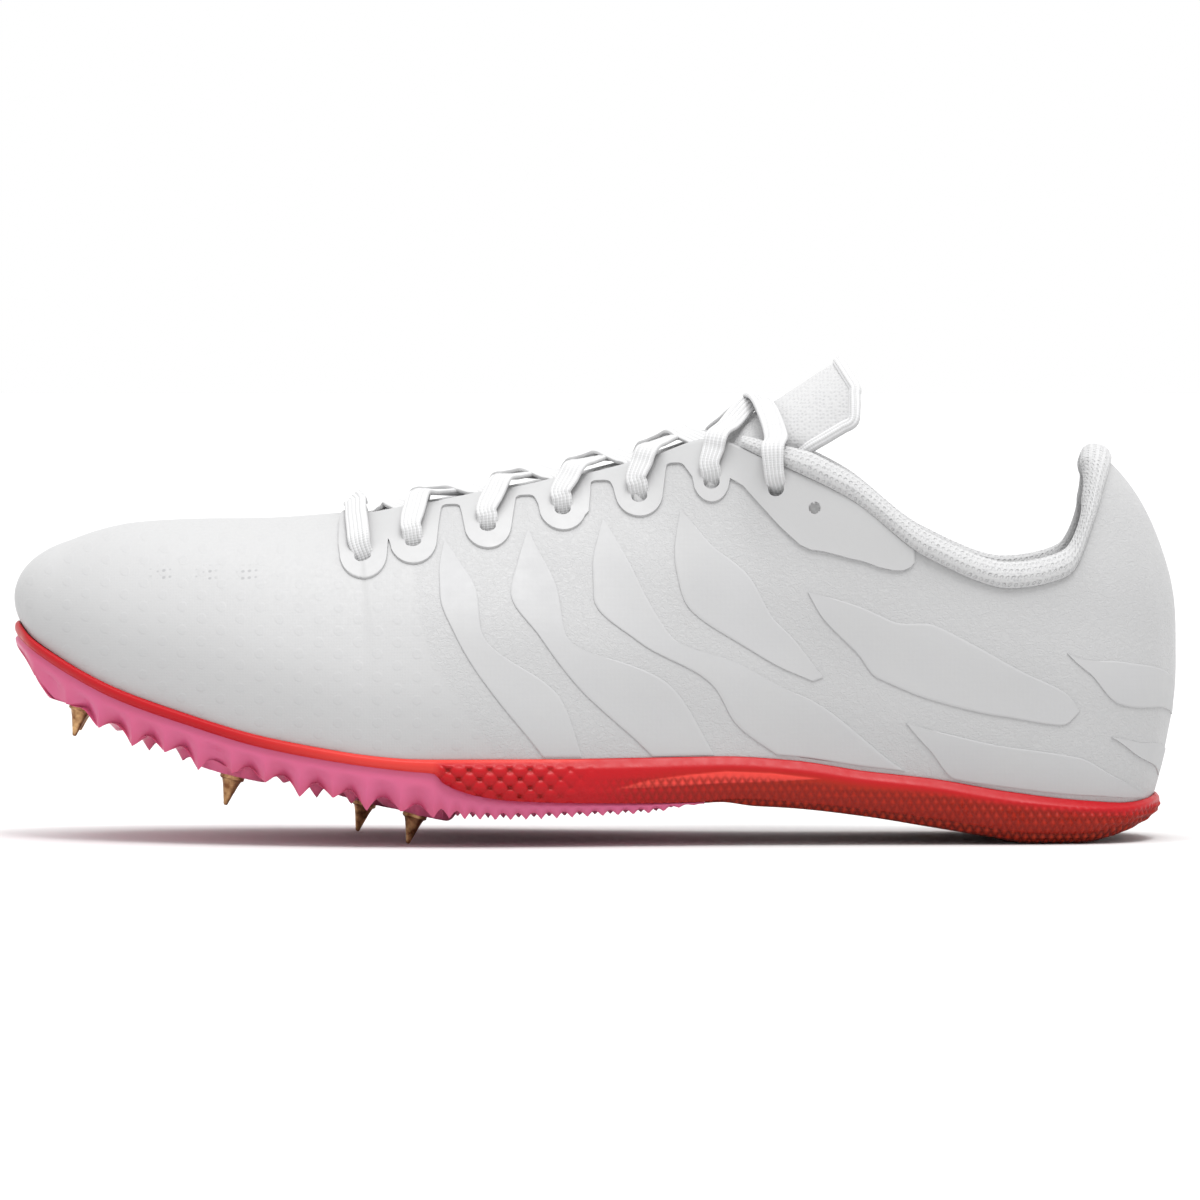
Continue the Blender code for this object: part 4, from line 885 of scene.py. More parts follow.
def eyelet_cutters(*sides):
    """One object with a round-ended prism through the wall at each eyelet of those sides."""
    bm = bmesh.new()
    for place, rise, laced in eyelet_spots():
        for spot in [place if side > 0 else last.mirrored(place) for side in sides]:
            width = EYELET_WIDTH if laced else SPARE_EYELET
            length = EYELET_LENGTH if laced else SPARE_EYELET
            centre, out = last.point(spot, rise), last.normal(spot, rise)
            upward = unit(last.point(spot, rise + 0.02) - last.point(spot, rise - 0.02))
            sideways = np.cross(out, upward)
            made = bmesh.ops.create_cone(bm, cap_ends=True, segments=24, radius1=width / 2,
                                         radius2=width / 2, depth=8 * WALL)
            for v in made["verts"]:
                rise_by = v.co.y + math.copysign((length - width) / 2, v.co.y)
                v.co = centre + sideways * v.co.x + upward * rise_by + out * v.co.z
    bmesh.ops.recalc_face_normals(bm, faces=bm.faces)
    return finished("cutters", bm)


class SHOE_OT_upper(bpy.types.Operator):
    """Hollow upper with its crackled skin and eyelet holes"""

    bl_idname = "shoe.upper"
    bl_label = "Upper"

    def execute(self, context):
        looks = context.scene.shoe_looks
        sizes = context.scene.shoe_sizes
        around, up = sizes.steps_round, sizes.steps_up
        places, rises = np.meshgrid(np.linspace(0, last.turn, around + 1), np.linspace(0, 1, up + 1),
                                    indexing="ij")
        points = last.point(places, rises)
        twin = points[::-1, -1]
        welded = (np.minimum(places[:, 0], last.turn - places[:, 0]) <= THROAT_ROW)
        points[welded, -1] = (points[welded, -1] + twin[welded]) / 2
        skin = lofted("upper_skin", points)
        displaced(skin, skin_relief)
        bm = bmesh.new()
        bm.from_mesh(skin.data)
        bmesh.ops.solidify(bm, geom=bm.faces, thickness=WALL)
        bmesh.ops.recalc_face_normals(bm, faces=bm.faces)
        bm.to_mesh(skin.data)
        bm.free()
        subtract(skin, eyelet_cutters(1, -1))
        skin.data.shade_smooth()
        skin.data.set_sharp_from_angle(angle=math.radians(45))
        co = coordinates(skin)
        marked(skin, "crinkle", crinkle_field(co))
        marked(skin, "vents", vent_field(co))
        placed(skin, crinkled_mesh(looks), "mesh_white", "upper")
        return {"FINISHED"}


def scallops(width, depth):
    """The eyestay's lower edge, toe to ankle, as share and height: a rounded U under each laced
    eyelet, a tab between two."""
    deep = depth / TOP_HEIGHT
    edge = [(0.2805, 0.770), (0.2812, 0.722)]
    tabs = [e for e in EYELETS if e.tab]
    pitches = [b.place - a.place for a, b in zip(EYELETS, EYELETS[1:])]
    for k, eyelet in enumerate(tabs):
        half = min(width / 2 / LENGTH, 0.48 * min(pitches[max(k - 1, 0):k + 2]))
        for turn in np.linspace(math.pi, 2 * math.pi, 15):
            edge.append((eyelet.place + half * math.cos(turn), eyelet.height + deep * math.sin(turn)))
        following = EYELETS[k + 1]
        room = following.place - half - (eyelet.place + half)
        if following.tab and room > 0.2 * pitches[k]:
            for f in np.linspace(0.15, 0.85, 9):
                crown = 1 - ((f - 0.5) / 0.5) ** 4
                edge.append((eyelet.place + half + room * f, eyelet.tab - 0.02 + 0.022 * crown))
        else:
            edge.append((eyelet.place + half + room * 0.5, eyelet.tab))
    edge += [(0.6480, 0.805), (0.6620, 0.762), (0.6760, 0.726), (0.6850, 0.714), (0.6950, 0.710),
             (0.7190, 0.692), (0.7430, 0.672), (0.7560, 0.664), (0.7640, 0.664), (0.7705, 0.672),
             (0.7740, 0.684)]
    return sorted(edge)


def film_patch(name, places, rises, side, height):
    """A thin closed skin over the upper: places and rises are grids whose outer rows and columns
    are its rim."""
    spots = places if side > 0 else last.turn - places
    swell = skin_relief(last.point(spots, rises).reshape(-1, 3)).reshape(spots.shape)
    lift = np.full(spots.shape, height)
    for rim in (lift[0], lift[-1], lift[:, 0], lift[:, -1]):
        rim[:] = 0.7 * height
    top = last.lifted(spots, rises, lift + swell)
    under = last.lifted(spots, rises, swell - 0.00025)
    return lofted(name, np.concatenate([top, under[:, ::-1]], axis=1), True, True, angle=50)


def resampled(border, count):
    """Points evenly spaced along a border given as share and height, as place and rise."""
    spots = np.array([last.find(*spot) for spot in border])
    way = np.array(border) * np.array([LENGTH, TOP_HEIGHT])
    run = run_along(way)
    knots = Curve(run / run[-1], spots)
    return knots(np.linspace(0.0, 1.0, count))


class SHOE_OT_eyestays(bpy.types.Operator):
    """Smooth scalloped film round the eyelets, on both sides"""

    bl_idname = "shoe.eyestays"
    bl_label = "Eyestays"

    def execute(self, context):
        looks, sizes = context.scene.shoe_looks, context.scene.shoe_sizes
        film = smooth_film(looks)
        edge = np.array([last.find(*spot) for spot in scallops(0.0116, 0.0058)])
        edge = edge[np.argsort(edge[:, 0])]
        places = np.linspace(edge[0, 0], edge[-1, 0], 620)
        low = np.interp(places, edge[:, 0], edge[:, 1])
        levels = np.concatenate([[0.0, 0.006], np.linspace(0.02, 1.0, 26)])
        rises = low[:, None] + (0.994 - low)[:, None] * levels[None, :]
        grid = np.repeat(places[:, None], len(levels), axis=1)
        for side, name in ((1, "eyestay_film_outer"), (-1, "eyestay_film_inner")):
            patch = film_patch(name, grid, rises, side, sizes.film)
            subtract(patch, eyelet_cutters(side))
            patch.data.shade_smooth()
            patch.data.set_sharp_from_angle(angle=math.radians(50))
            placed(patch, film, "film_white", "eyestay_outer" if side > 0 else "eyestay_inner")
        return {"FINISHED"}


class SHOE_OT_panels(bpy.types.Operator):
    """Smooth film panels between the crackled branches of the sides"""

    bl_idname = "shoe.panels"
    bl_label = "Side panels"

    def execute(self, context):
        looks, sizes = context.scene.shoe_looks, context.scene.shoe_sizes
        film = panel_film(looks)
        steps = np.concatenate([[0.0, 0.004], np.linspace(0.012, 0.988, 64), [0.996, 1.0]])
        across = np.concatenate([[0.0, 0.015], np.linspace(0.05, 0.95, 14), [0.985, 1.0]])
        for panel in PANELS:
            one, other = resampled(panel.one, 400), resampled(panel.other, 400)
            row = np.linspace(0, 1, 400)
            one = np.stack([np.interp(steps, row, one[:, k]) for k in (0, 1)], axis=-1)[:, None, :]
            other = np.stack([np.interp(steps, row, other[:, k]) for k in (0, 1)], axis=-1)[:, None, :]
            grid = one + (other - one) * across[None, :, None]
            for side, end in ((1, "outer"), (-1, "inner")):
                patch = film_patch(f"{panel.name}_{end}", grid[..., 0], grid[..., 1], side, sizes.panel_film)
                placed(patch, film, "film_white")
        return {"FINISHED"}


def spline(a, b, c, d, f):
    """The smooth curve from b to c at the shares f, with a before and d behind."""
    return 0.5 * ((2 * b) + (c - a) * f + (2 * a - 5 * b + 4 * c - d) * f ** 2
                  + (3 * b - a - 3 * c + d) * f ** 3)


def closed_curve(points, count):
    """Points on a smooth closed curve through the given ones."""
    points = np.array(points, float)
    n = len(points)
    t = np.linspace(0, n, count, endpoint=False)
    k = t.astype(int)
    f = (t - k)[:, None]
    return spline(*(points[(k + s) % n] for s in (-1, 0, 1, 2)), f)


class SHOE_OT_collar(bpy.types.Operator):
    """Padded roll round the ankle with the lining that hangs inside"""

    bl_idname = "shoe.collar"
    bl_label = "Collar"

    def execute(self, context):
        looks = context.scene.shoe_looks
        r = ROLL_WIDTH / 2
        section = closed_curve([
            (-0.0004, 0.30 * r),
            (0.9 * r, 0.78 * r),
            (2.0 * r, 0.25 * r),
            (2.5 * r, -0.65 * r),
            (2.1 * r, -1.6 * r),
            (0.6 * r, -2.1 * r),
            (-0.35 * LINING_DEPTH, -1.8 * r),
            (-LINING_DEPTH, -WALL - 0.0011),
            (-LINING_DEPTH, -WALL - 0.0004),
            (-0.5 * LINING_DEPTH, -WALL - 0.0004),
            (-0.2 * LINING_DEPTH, -WALL - 0.0006),
            (0.0006, -WALL - 0.0006),
        ], 60)
        start, end = COLLAR_ROW, last.turn - COLLAR_ROW
        places = np.linspace(start, end, 340)
        rim = last.point(places, 1.0)
        out = last.normal(places, 0.98)
        wall_up = unit(last.point(places, 1.0) - last.point(places, 0.96))
        length = np.linalg.norm(last.point(places, 1.0) - last.point(places, 0.5), axis=1) * 2
        nearness = np.minimum(places - start, end - places)
        full = np.minimum(1.0, 0.5 + 0.5 * np.clip(nearness, 0, 1))
        rings = []
        for up, outward in section:
            above = rim + wall_up * (up * full)[:, None] + out * (outward * full)[:, None]
            rise = 1.0 + up * full / length
            layer = -WALL - 2 * GAP
            thick = np.where(outward > layer, outward, layer + (outward - layer) * full)
            rise = np.minimum(rise, 1.0)
            below = last.point(places, rise) + last.normal(places, rise) * thick[:, None]
            weight = smooth_step(-0.35 * LINING_DEPTH, 0.0, np.float64(up))
            rings.append(above * weight + below * (1 - weight))
        points = np.stack(rings, axis=1)
        girth = run_along(np.vstack([section, section[:1]]))
        lengths = np.stack(np.meshgrid(run_along(rim), girth, indexing="ij"), axis=-1)
        roll = lofted("collar_roll", points, True, True, lengths=lengths)
        placed(roll, collar_knit(looks), "knit_white", "collar")
        return {"FINISHED"}


def tree_of(*names):
    """A search tree over the scene's own pieces."""
    points, faces = [], []
    for name in names:
        mesh = bpy.data.objects[name].data
        start = len(points)
        points += [v.co.copy() for v in mesh.vertices]
        faces += [[start + k for k in p.vertices] for p in mesh.polygons]
    return BVHTree.FromPolygons(points, faces)


def smoothed(points, count):
    """Points evenly spaced on a smooth open curve through the given ones."""
    points = np.array(points, float)
    ring = np.vstack([2 * points[0] - points[1], points, 2 * points[-1] - points[-2]])
    n = len(points) - 1
    t = np.linspace(0, n, 40 * n + 1)
    k = np.minimum(t.astype(int), n - 1)
    f = (t - k)[:, None]
    fine = spline(*(ring[k + s] for s in range(4)), f)
    run = run_along(fine[:, 0:3])
    goal = np.linspace(0, run[-1], count)
    return np.stack([np.interp(goal, run, fine[:, k]) for k in range(fine.shape[1])], axis=-1)


def swept(name, path, section, scale=None):
    """A closed strand along a path. Each path row holds a point and the direction off the shoe there,
    the section holds points across and off."""
    spots, outs = path[:, 0:3], path[:, 3:6]
    run = unit(np.gradient(spots, axis=0))
    side = unit(np.cross(run, outs))
    outs = unit(np.cross(side, run))
    scale = np.ones(len(path)) if scale is None else scale
    points = spots[:, None, :] + (side[:, None, :] * (section[None, :, 0:1] * scale[:, None, None])
                                  + outs[:, None, :] * section[None, :, 1:2])
    across = np.append(section[:, 0], section[0, 0])
    lengths = np.stack(np.meshgrid(run_along(spots), across, indexing="ij"), axis=-1)
    return lofted(name, points, True, True, lengths=lengths, angle=60)


def kept_clear(tree, spot, away, need):
    """Move a point along one direction until it is that far from the tree's faces."""
    for _ in range(6):
        distance = tree.find_nearest(Vector(spot))[3]
        if distance is None or distance >= need:
            break
        spot = spot + away * (need - distance + GAP / 6)
    return spot


def pulled_in(tree, spot, out, need):
    """Draw a point inward until what lies over it is that far away."""
    start = spot - out * 0.2 * TOP_HEIGHT
    hit, normal, _, distance = tree.ray_cast(Vector(start), Vector(out), 0.23 * TOP_HEIGHT)
    if hit is None:
        return spot
    facing = max(abs(float(np.dot(np.array(normal), out))), 0.4)
    return start + out * min(0.2 * TOP_HEIGHT, distance - need / facing)


class SHOE_OT_tongue(bpy.types.Operator):
    """Padded tongue with its taped edge"""

    bl_idname = "shoe.tongue"
    bl_label = "Tongue"

    def execute(self, context):
        looks = context.scene.shoe_looks
        around = tree_of("upper_skin", "collar_roll")
        curve = Curve([t.place for t in TONGUE], [t[1:] for t in TONGUE])
        first, final = TONGUE[0].place, TONGUE[-1].place
        rows, across = 64, 22
        layers = []
        for layer in (0, 1):
            grid = np.zeros((rows + 1, across + 1, 3))
            for i in range(rows + 1):
                place = first + (final - first) * math.sin(0.5 * math.pi * i / rows) ** 1.15
                height, span, radius, pad = curve(place)
                ahead, behind = curve(place + 0.004), curve(place - 0.004)
                step = min(place + 0.004, final) - max(place - 0.004, first)
                run = unit(np.array([0.0, step * LENGTH, (ahead[0] - behind[0]) * TOP_HEIGHT]))
                lift = np.array([0.0, -run[2], run[1]])
                middle = np.array([ridge_side(place), along(place), height * TOP_HEIGHT]) + last.shift
                bend = radius * TOP_HEIGHT
                for k in range(across + 1):
                    f = 2 * k / across - 1
                    angle = f * span * BALL_WIDTH / bend
                    out = np.array([1.0, 0.0, 0.0]) * math.sin(angle) + lift * math.cos(angle)
                    edge = max(abs(f), 1 - 4 * (1 - i / rows))
                    thick = TONGUE_THICKNESS * pad * (1 - 0.55 * max(edge, 0.0) ** 4)
                    puff = 0.0005 * math.sin(9 * f + 1) * math.sin(i * 0.31) * (1 - f * f)
                    r = bend - (1 - layer) * (thick + puff)
                    spot = middle + out * r - lift * bend
                    need = 3 * GAP + (1 - layer) * thick * 0.5
                    grid[i, k] = kept_clear(around, pulled_in(around, spot, out, need), -out, need)
            layers.append(grid)
        inner, outer = layers
        pad = lofted("tongue_pad", np.concatenate([outer, inner[:, ::-1]], axis=1), True, True, angle=60)
        placed(pad, tongue_knit(looks), "knit_white", "tongue")
        rim = (inner + outer) / 2
        low = int(rows * 0.62)
        loop = np.vstack([rim[low:, 0], rim[-1, 1:-1], rim[low:, -1][::-1]])
        face = np.vstack([outer[low:, 0] - inner[low:, 0], (outer - inner)[-1, 1:-1],
                          (outer - inner)[low:, -1][::-1]])
        path = smoothed(np.hstack([loop, unit(face)])[::3], 170)
        turn = np.linspace(0, 2 * math.pi, 13)[:-1]
        section = np.stack([TAPE_RADIUS * np.cos(turn), TAPE_RADIUS * np.sin(turn)], axis=-1)
        tape = swept("tongue_tape", path, section)
        placed(tape, woven_lace(looks, "taped_edge"), "knit_white")
        return {"FINISHED"}


class Lacing:
    """Where the lace's strands run, from the eyelets and the tongue below them."""

    def __init__(self):
        self.rows = [(place, rise) for place, rise, laced in eyelet_spots() if laced]
        self.tongue = tree_of("tongue_pad")
        self.ground = tree_of("upper_skin", "eyestay_film_outer", "eyestay_film_inner", "tongue_pad")

    def spot(self, k, side):
        place, rise = self.rows[k]
        return (place if side > 0 else last.mirrored(place)), rise

    def through(self, k, side, lean=0.0):
        """From inside the wall out through the eyelet."""
        place, rise = self.spot(k, side)
        path = []
        for up, height in ((-0.018, -WALL - 0.0020), (0.002, -0.0012), (0.024, FILM + 0.0004)):
            at = place + side * lean * up
            path.append((last.lifted(at, rise + up, height), last.normal(at, rise + up)))
        return path

    def outside(self, k, side, lean):
        """From the eyelet up the outside to the rim, leaning along the rim by that many rows."""
        place, rise = self.spot(k, side)
        low = rise + EYELET_LENGTH * 0.8 / TOP_HEIGHT
        path = []
        for f in (0.0, 0.5, 1.0):
            at = place + side * lean * f
            up = low + (1.0 - low) * f
            path.append((last.lifted(at, up, FILM + 4 * GAP + 2 * GAP * f), last.normal(at, min(up, 0.98))))
        return path

    def below(self, spot):
        hit, normal, _, _ = self.tongue.ray_cast(Vector((*spot, 2 * TOP_HEIGHT)), Vector((0, 0, -1)))
        return hit.z, np.array(normal)

    def middle(self, k, share):
        """Over the tongue between rows k and k + 1."""
        a = last.point(self.rows[k][0], 1.0)
        b = last.point(self.rows[min(k + 1, len(self.rows) - 1)][0], 1.0)
        y = a[1] + (b[1] - a[1]) * share
        x = float(ridge_side(share_of(y))) + last.shift[0]
        slope = unit(np.array([0.0, -(b[2] - a[2]), b[1] - a[1]]))
        return np.array([x, y, self.below((x, y))[0]]) + slope * 3.5 * GAP, slope

    def under(self, k, side, share):
        """Beside the rim of row k, then on below it toward the eyelet."""
        place, rise = self.spot(k, side)
        edge = last.point(place, 1.0)
        x = edge[0] - side * share * LACE_WIDTH
        height, up = self.below((x, edge[1]))
        spot = np.array([x, edge[1], height]) + up * 2 * GAP
        return [(spot, up), (last.lifted(place, 0.97, -WALL - 0.0012), last.normal(place, 0.95))]

    def first(self, side):
        """Beside the middle, just past the throat's end, where the lowest crossing comes out."""
        spot, up = self.middle(0, 0.25)
        return spot + np.array([side * LACE_WIDTH * 0.5, 0.0, -GAP]), up

    def over_roll(self, k, side):
        """From the middle over the collar's roll and down the outside into the eyelet."""
        place, rise = self.spot(k, side)
        rim = last.point(place, 1.0)
        out = last.normal(place, 0.98)
        up = unit(rim - last.point(place, 0.96))
        low = rise + EYELET_LENGTH * 0.8 / TOP_HEIGHT
        half = 0.5 * (1 + low)
        return [
            (rim + up * (ROLL_WIDTH * 1.05 + 2 * GAP) - out * ROLL_WIDTH * 0.3, unit(up + out * 0.3)),
            (rim + up * ROLL_WIDTH * 0.6 + out * (ROLL_WIDTH * 0.21 + 3 * GAP), unit(out + up * 0.3)),
            (last.lifted(place, half, FILM + 4 * GAP), last.normal(place, half)),
            (last.lifted(place, low, FILM + 3 * GAP), last.normal(place, low)),
        ]

    def settled(self, path):
        """The path with points added and raised until the strand clears what lies below."""
        finer = [path[0]]
        for (a, out_a), (b, out_b) in zip(path, path[1:]):
            finer += [(a + (b - a) * f, unit(out_a * (1 - f) + out_b * f)) for f in (1 / 3, 2 / 3, 1.0)]
        raised = []
        for k, (spot, out) in enumerate(finer):
            run = finer[min(k + 1, len(finer) - 1)][0] - finer[max(k - 1, 0)][0]
            side = unit(np.cross(run, out)) * LACE_WIDTH / 2
            short = 0.0
            for f in (-1, -0.5, 0, 0.5, 1):
                x, y, z = spot + side * f
                hit = self.ground.ray_cast(Vector((x, y, 2 * TOP_HEIGHT)), Vector((0, 0, -1)))[0]
                if hit:
                    short = max(short, hit.z + 3 * GAP - z)
            raised.append((spot + np.array([0.0, 0.0, short]), out))
        return raised


def lace_strand(name, path, looks, *nodes):
    """One flat strand with rounded edges, drawn narrower where it passes an eyelet."""
    rows = smoothed([np.concatenate(spot) for spot in path], 120)
    turn = np.linspace(0, 2 * math.pi, 29)[:-1]
    flat = np.sign(np.cos(turn)) * np.abs(np.cos(turn)) ** 0.45 * LACE_WIDTH * 0.58
    thick = (np.sign(np.sin(turn)) * np.abs(np.sin(turn)) ** 0.7 + 1) * LACE_THICKNESS * 0.56
    ribs = 0.00009 * np.cos(flat / LACE_WIDTH * 2 * math.pi * 5) * np.sin(turn)
    way = np.linspace(0, 1, len(rows)) * len(path)
    scale = np.ones(len(rows))
    if name.startswith("lace_bar") or not name.endswith("end"):
        scale = LACE_NECK + (1 - LACE_NECK) * smooth_step(1.6, 3.0, way)
    if name.startswith("lace_bar") or "top" in name:
        scale = np.minimum(scale, LACE_NECK + (1 - LACE_NECK) * smooth_step(1.6, 3.0, way[::-1]))
    strand = swept(name, rows, np.stack([flat, thick + ribs], axis=-1), scale)
    weave = bpy.data.materials.get("woven_lace") or woven_lace(looks, "woven_lace")
    return placed(strand, weave, "lace_white", *nodes)


class SHOE_OT_laces(bpy.types.Operator):
    """The bar at the toe end and the crossings above it, run through the eyelets"""

    bl_idname = "shoe.laces"
    bl_label = "Laces"

    def execute(self, context):
        looks = context.scene.shoe_looks
        lacing = Lacing()
        low, high = lacing.outside(0, 1, 0.0), lacing.outside(0, -1, 0.0)
        middle = (low[-1][0] + high[-1][0]) / 2 + np.array([0.0, 0.0, GAP]), np.array([0.0, 0.0, 1.0])
        bar = lacing.settled(low + [middle] + high[::-1])
        bar = lacing.through(0, 1) + bar + lacing.through(0, -1)[::-1]
        lace_strand("lace_bar_strand", bar, looks, "lace_bar")
        final = len(lacing.rows) - 2
        for k in range(final + 1):
            for side, end in ((1, "outer"), (-1, "inner")):
                start = [lacing.first(side)] if k == 0 else lacing.outside(k, side, 0.18)
                centre, up = lacing.middle(k, 0.62)
                crossing = [(centre + up * (GAP if side > 0 else 2.5 * GAP + LACE_THICKNESS), up)]
                rest = lacing.over_roll(k + 1, -side) if k == final else lacing.under(k + 1, -side, 0.68)
                path = start[:-1] + lacing.settled(start[-1:] + crossing + rest[:1]) + rest[1:]
                if k:
                    path = lacing.through(k, side) + path
                if k == final:
                    path += lacing.through(k + 1, -side)[::-1]
                name = f"lace_{'top' if k == final else k + 1}_{end}" + ("_end" if k == 0 else "")
                lace_strand(name, path, looks, f"lace_crossing_{k + 1}")
        return {"FINISHED"}


def sole_places(first, final, coarse, fine, front):
    """Places from toe to heel between two shares of the length, closer together behind front."""
    p = np.linspace(0, last.count, 6001)
    spots = last.curve(p)[:, 0:2]
    share = share_of(spots[:, 1])
    step = np.linalg.norm(np.diff(spots, axis=0), axis=1)
    cost = np.concatenate([[0.0], np.cumsum(step / np.where(share[1:] < front, coarse, fine))])
    inside = cost[(share >= first - 1e-9) & (share <= final + 1e-9)]
    return np.interp(np.linspace(inside[0], inside[-1], int(inside[-1] - inside[0]) + 2), cost, p)


def back_run(places, side):
    """Length along one side's outline from the heel tip."""
    p = np.linspace(0, last.count, 6001)
    spots = last.curve(p if side > 0 else last.turn - p)[:, 0:2]
    arc = run_along(spots)
    return np.interp(places, p, arc[-1] - arc)


def tent(x):
    """0 at whole numbers and 1 halfway between them, straight between."""
    return 1 - np.abs(2 * (x - np.floor(x)) - 1)


def nubs(a, b, pitch, rise):
    """Small pyramids in a diamond pattern, 0 in the grooves and 1 at the tips."""
    u, v = a / pitch, b / rise
    return np.minimum(tent(u + v), tent(u - v))


def domes(a, b, pitch, rise):
    """Round bumps in rows, each row set off by half a pitch, 0 in the grooves and 1 on top."""
    best = np.full(np.shape(a), 9.0)
    for shift in (0.0, 0.5):
        u, v = a / pitch - shift, b / rise / 2 - shift
        across = (u - np.round(u)) * pitch
        up = (v - np.round(v)) * rise * 2
        best = np.minimum(best, np.hypot(across, up * 1.12))
    return np.sqrt(np.clip(1 - (best / (0.41 * pitch)) ** 2, 0.0, 1.0))


class SoleLayer:
    """One layer of the sole as a grid of points. Each section runs down the outer side, inward below,
    up the inner side and outward above."""

    def __init__(self, places, levels, offset, top, under, below, above):
        n, rows = len(places), len(levels)
        columns = {}
        for side in (1, -1):
            spots = places if side > 0 else last.turn - places
            row, away = last.curve(spots), last.outward(spots)
            shift = offset(row[:, 1:2])
            x, y = row[:, 0:1] + away[:, 0:1] * shift, row[:, 1:2] + away[:, 1:2] * shift
            z = (1 - levels) * top(y) + levels * under(y)
            out = np.repeat(away[:, None, :], rows, axis=1)
            run = np.repeat(back_run(places, side)[:, None], rows, axis=1)
            columns[side] = (np.stack([x, y, z], axis=-1), out, run)
        self.parts = []
        self.add(*columns[1])
        self.fill(columns[1][0][:, -1], columns[-1][0][:, -1], below, -1.0)
        self.add(*(grid[:, ::-1] for grid in columns[-1]))
        self.fill(columns[-1][0][:, 0], columns[1][0][:, 0], above, 1.0)
        self.points, self.away, self.run = (np.concatenate(grids, axis=1) for grids in zip(*self.parts))
        # 0 on the outer side, 1 below, 2 on the inner side, 3 above
        self.kind = np.concatenate([np.full(part[2].shape, k) for k, part in enumerate(self.parts)], axis=1)
        self.side = (self.kind == 0) | (self.kind == 2)
        down = levels[None, :]
        share = np.linspace(0, 1, below + 2)[1:-1][None, :]
        self.down = np.concatenate([down, np.ones_like(share), down[:, ::-1], np.zeros((1, above))], axis=1)
        self.down = np.repeat(self.down, n, axis=0)
        self.across = np.concatenate([0 * down, share, 0 * down + 1, np.zeros((1, above))], axis=1)
        self.across = np.repeat(self.across, n, axis=0)

    def add(self, points, away, run):
        self.parts.append((points, away, run))

    def fill(self, start, end, count, up):
        f = np.linspace(0, 1, count + 2)[1:-1][None, :, None]
        points = start[:, None] + (end - start)[:, None] * f
        away = np.zeros_like(points)
        away[..., 2] = up
        self.add(points, away, np.zeros(points.shape[:2]))

    def lofted(self, name, values=None, angle=40):
        return lofted(name, self.points + last.shift, True, True, values=values, angle=angle)


def sole_tones(layer):
    """How far each point of the sole's side is from crimson to orange, and where it is coral: its strip, and
    a painted highlight on the front line, lip and nose.
    """
    share, z = share_of(layer.points[..., 1]), layer.points[..., 2]
    depth = foot_height(layer.points[..., 1]) - z
    tone = smooth_step(0.0016, 0.0046, depth) * smooth_step(0.50, 0.66, share)
    tone = np.where(layer.kind == 1, 1.0, tone)
    front = smooth_step(0.16, 0.33, share) * (1 - smooth_step(0.362, 0.372, share))
    lip = (1 - smooth_step(0.0003, 0.0011, depth)) * (1 - smooth_step(0.46, 0.52, share)) * (share > 0.36)
    nose = 1 - smooth_step(0.0, 0.006, np.abs(share - 0.3655))
    places = np.array([0.5155, 0.547, 0.582, 0.613, 0.651, 0.700])
    high = np.array([0.1395, 0.164, 0.176, 0.1835, 0.1785, 0.1615]) * TOP_HEIGHT
    low = np.array([0.1395, 0.142, 0.147, 0.152, 0.1545, 0.1615]) * TOP_HEIGHT
    top, bottom = np.interp(share, places, high), np.interp(share, places, low)
    strip = smooth_step(0.0, 0.0004, z - bottom) * smooth_step(0.0, 0.0004, top - z)
    strip = strip * (share > places[0]) * (share < places[-1])
    # Painted highlight on the front line, lip and nose, plus the strip's own coral
    light = np.clip(np.maximum.reduce([0.8 * front, 0.9 * lip, 0.6 * nose]) + strip, 0, 1)
    return tone, np.where(layer.side, light, 0.0), np.where(layer.side, strip, 0.0)


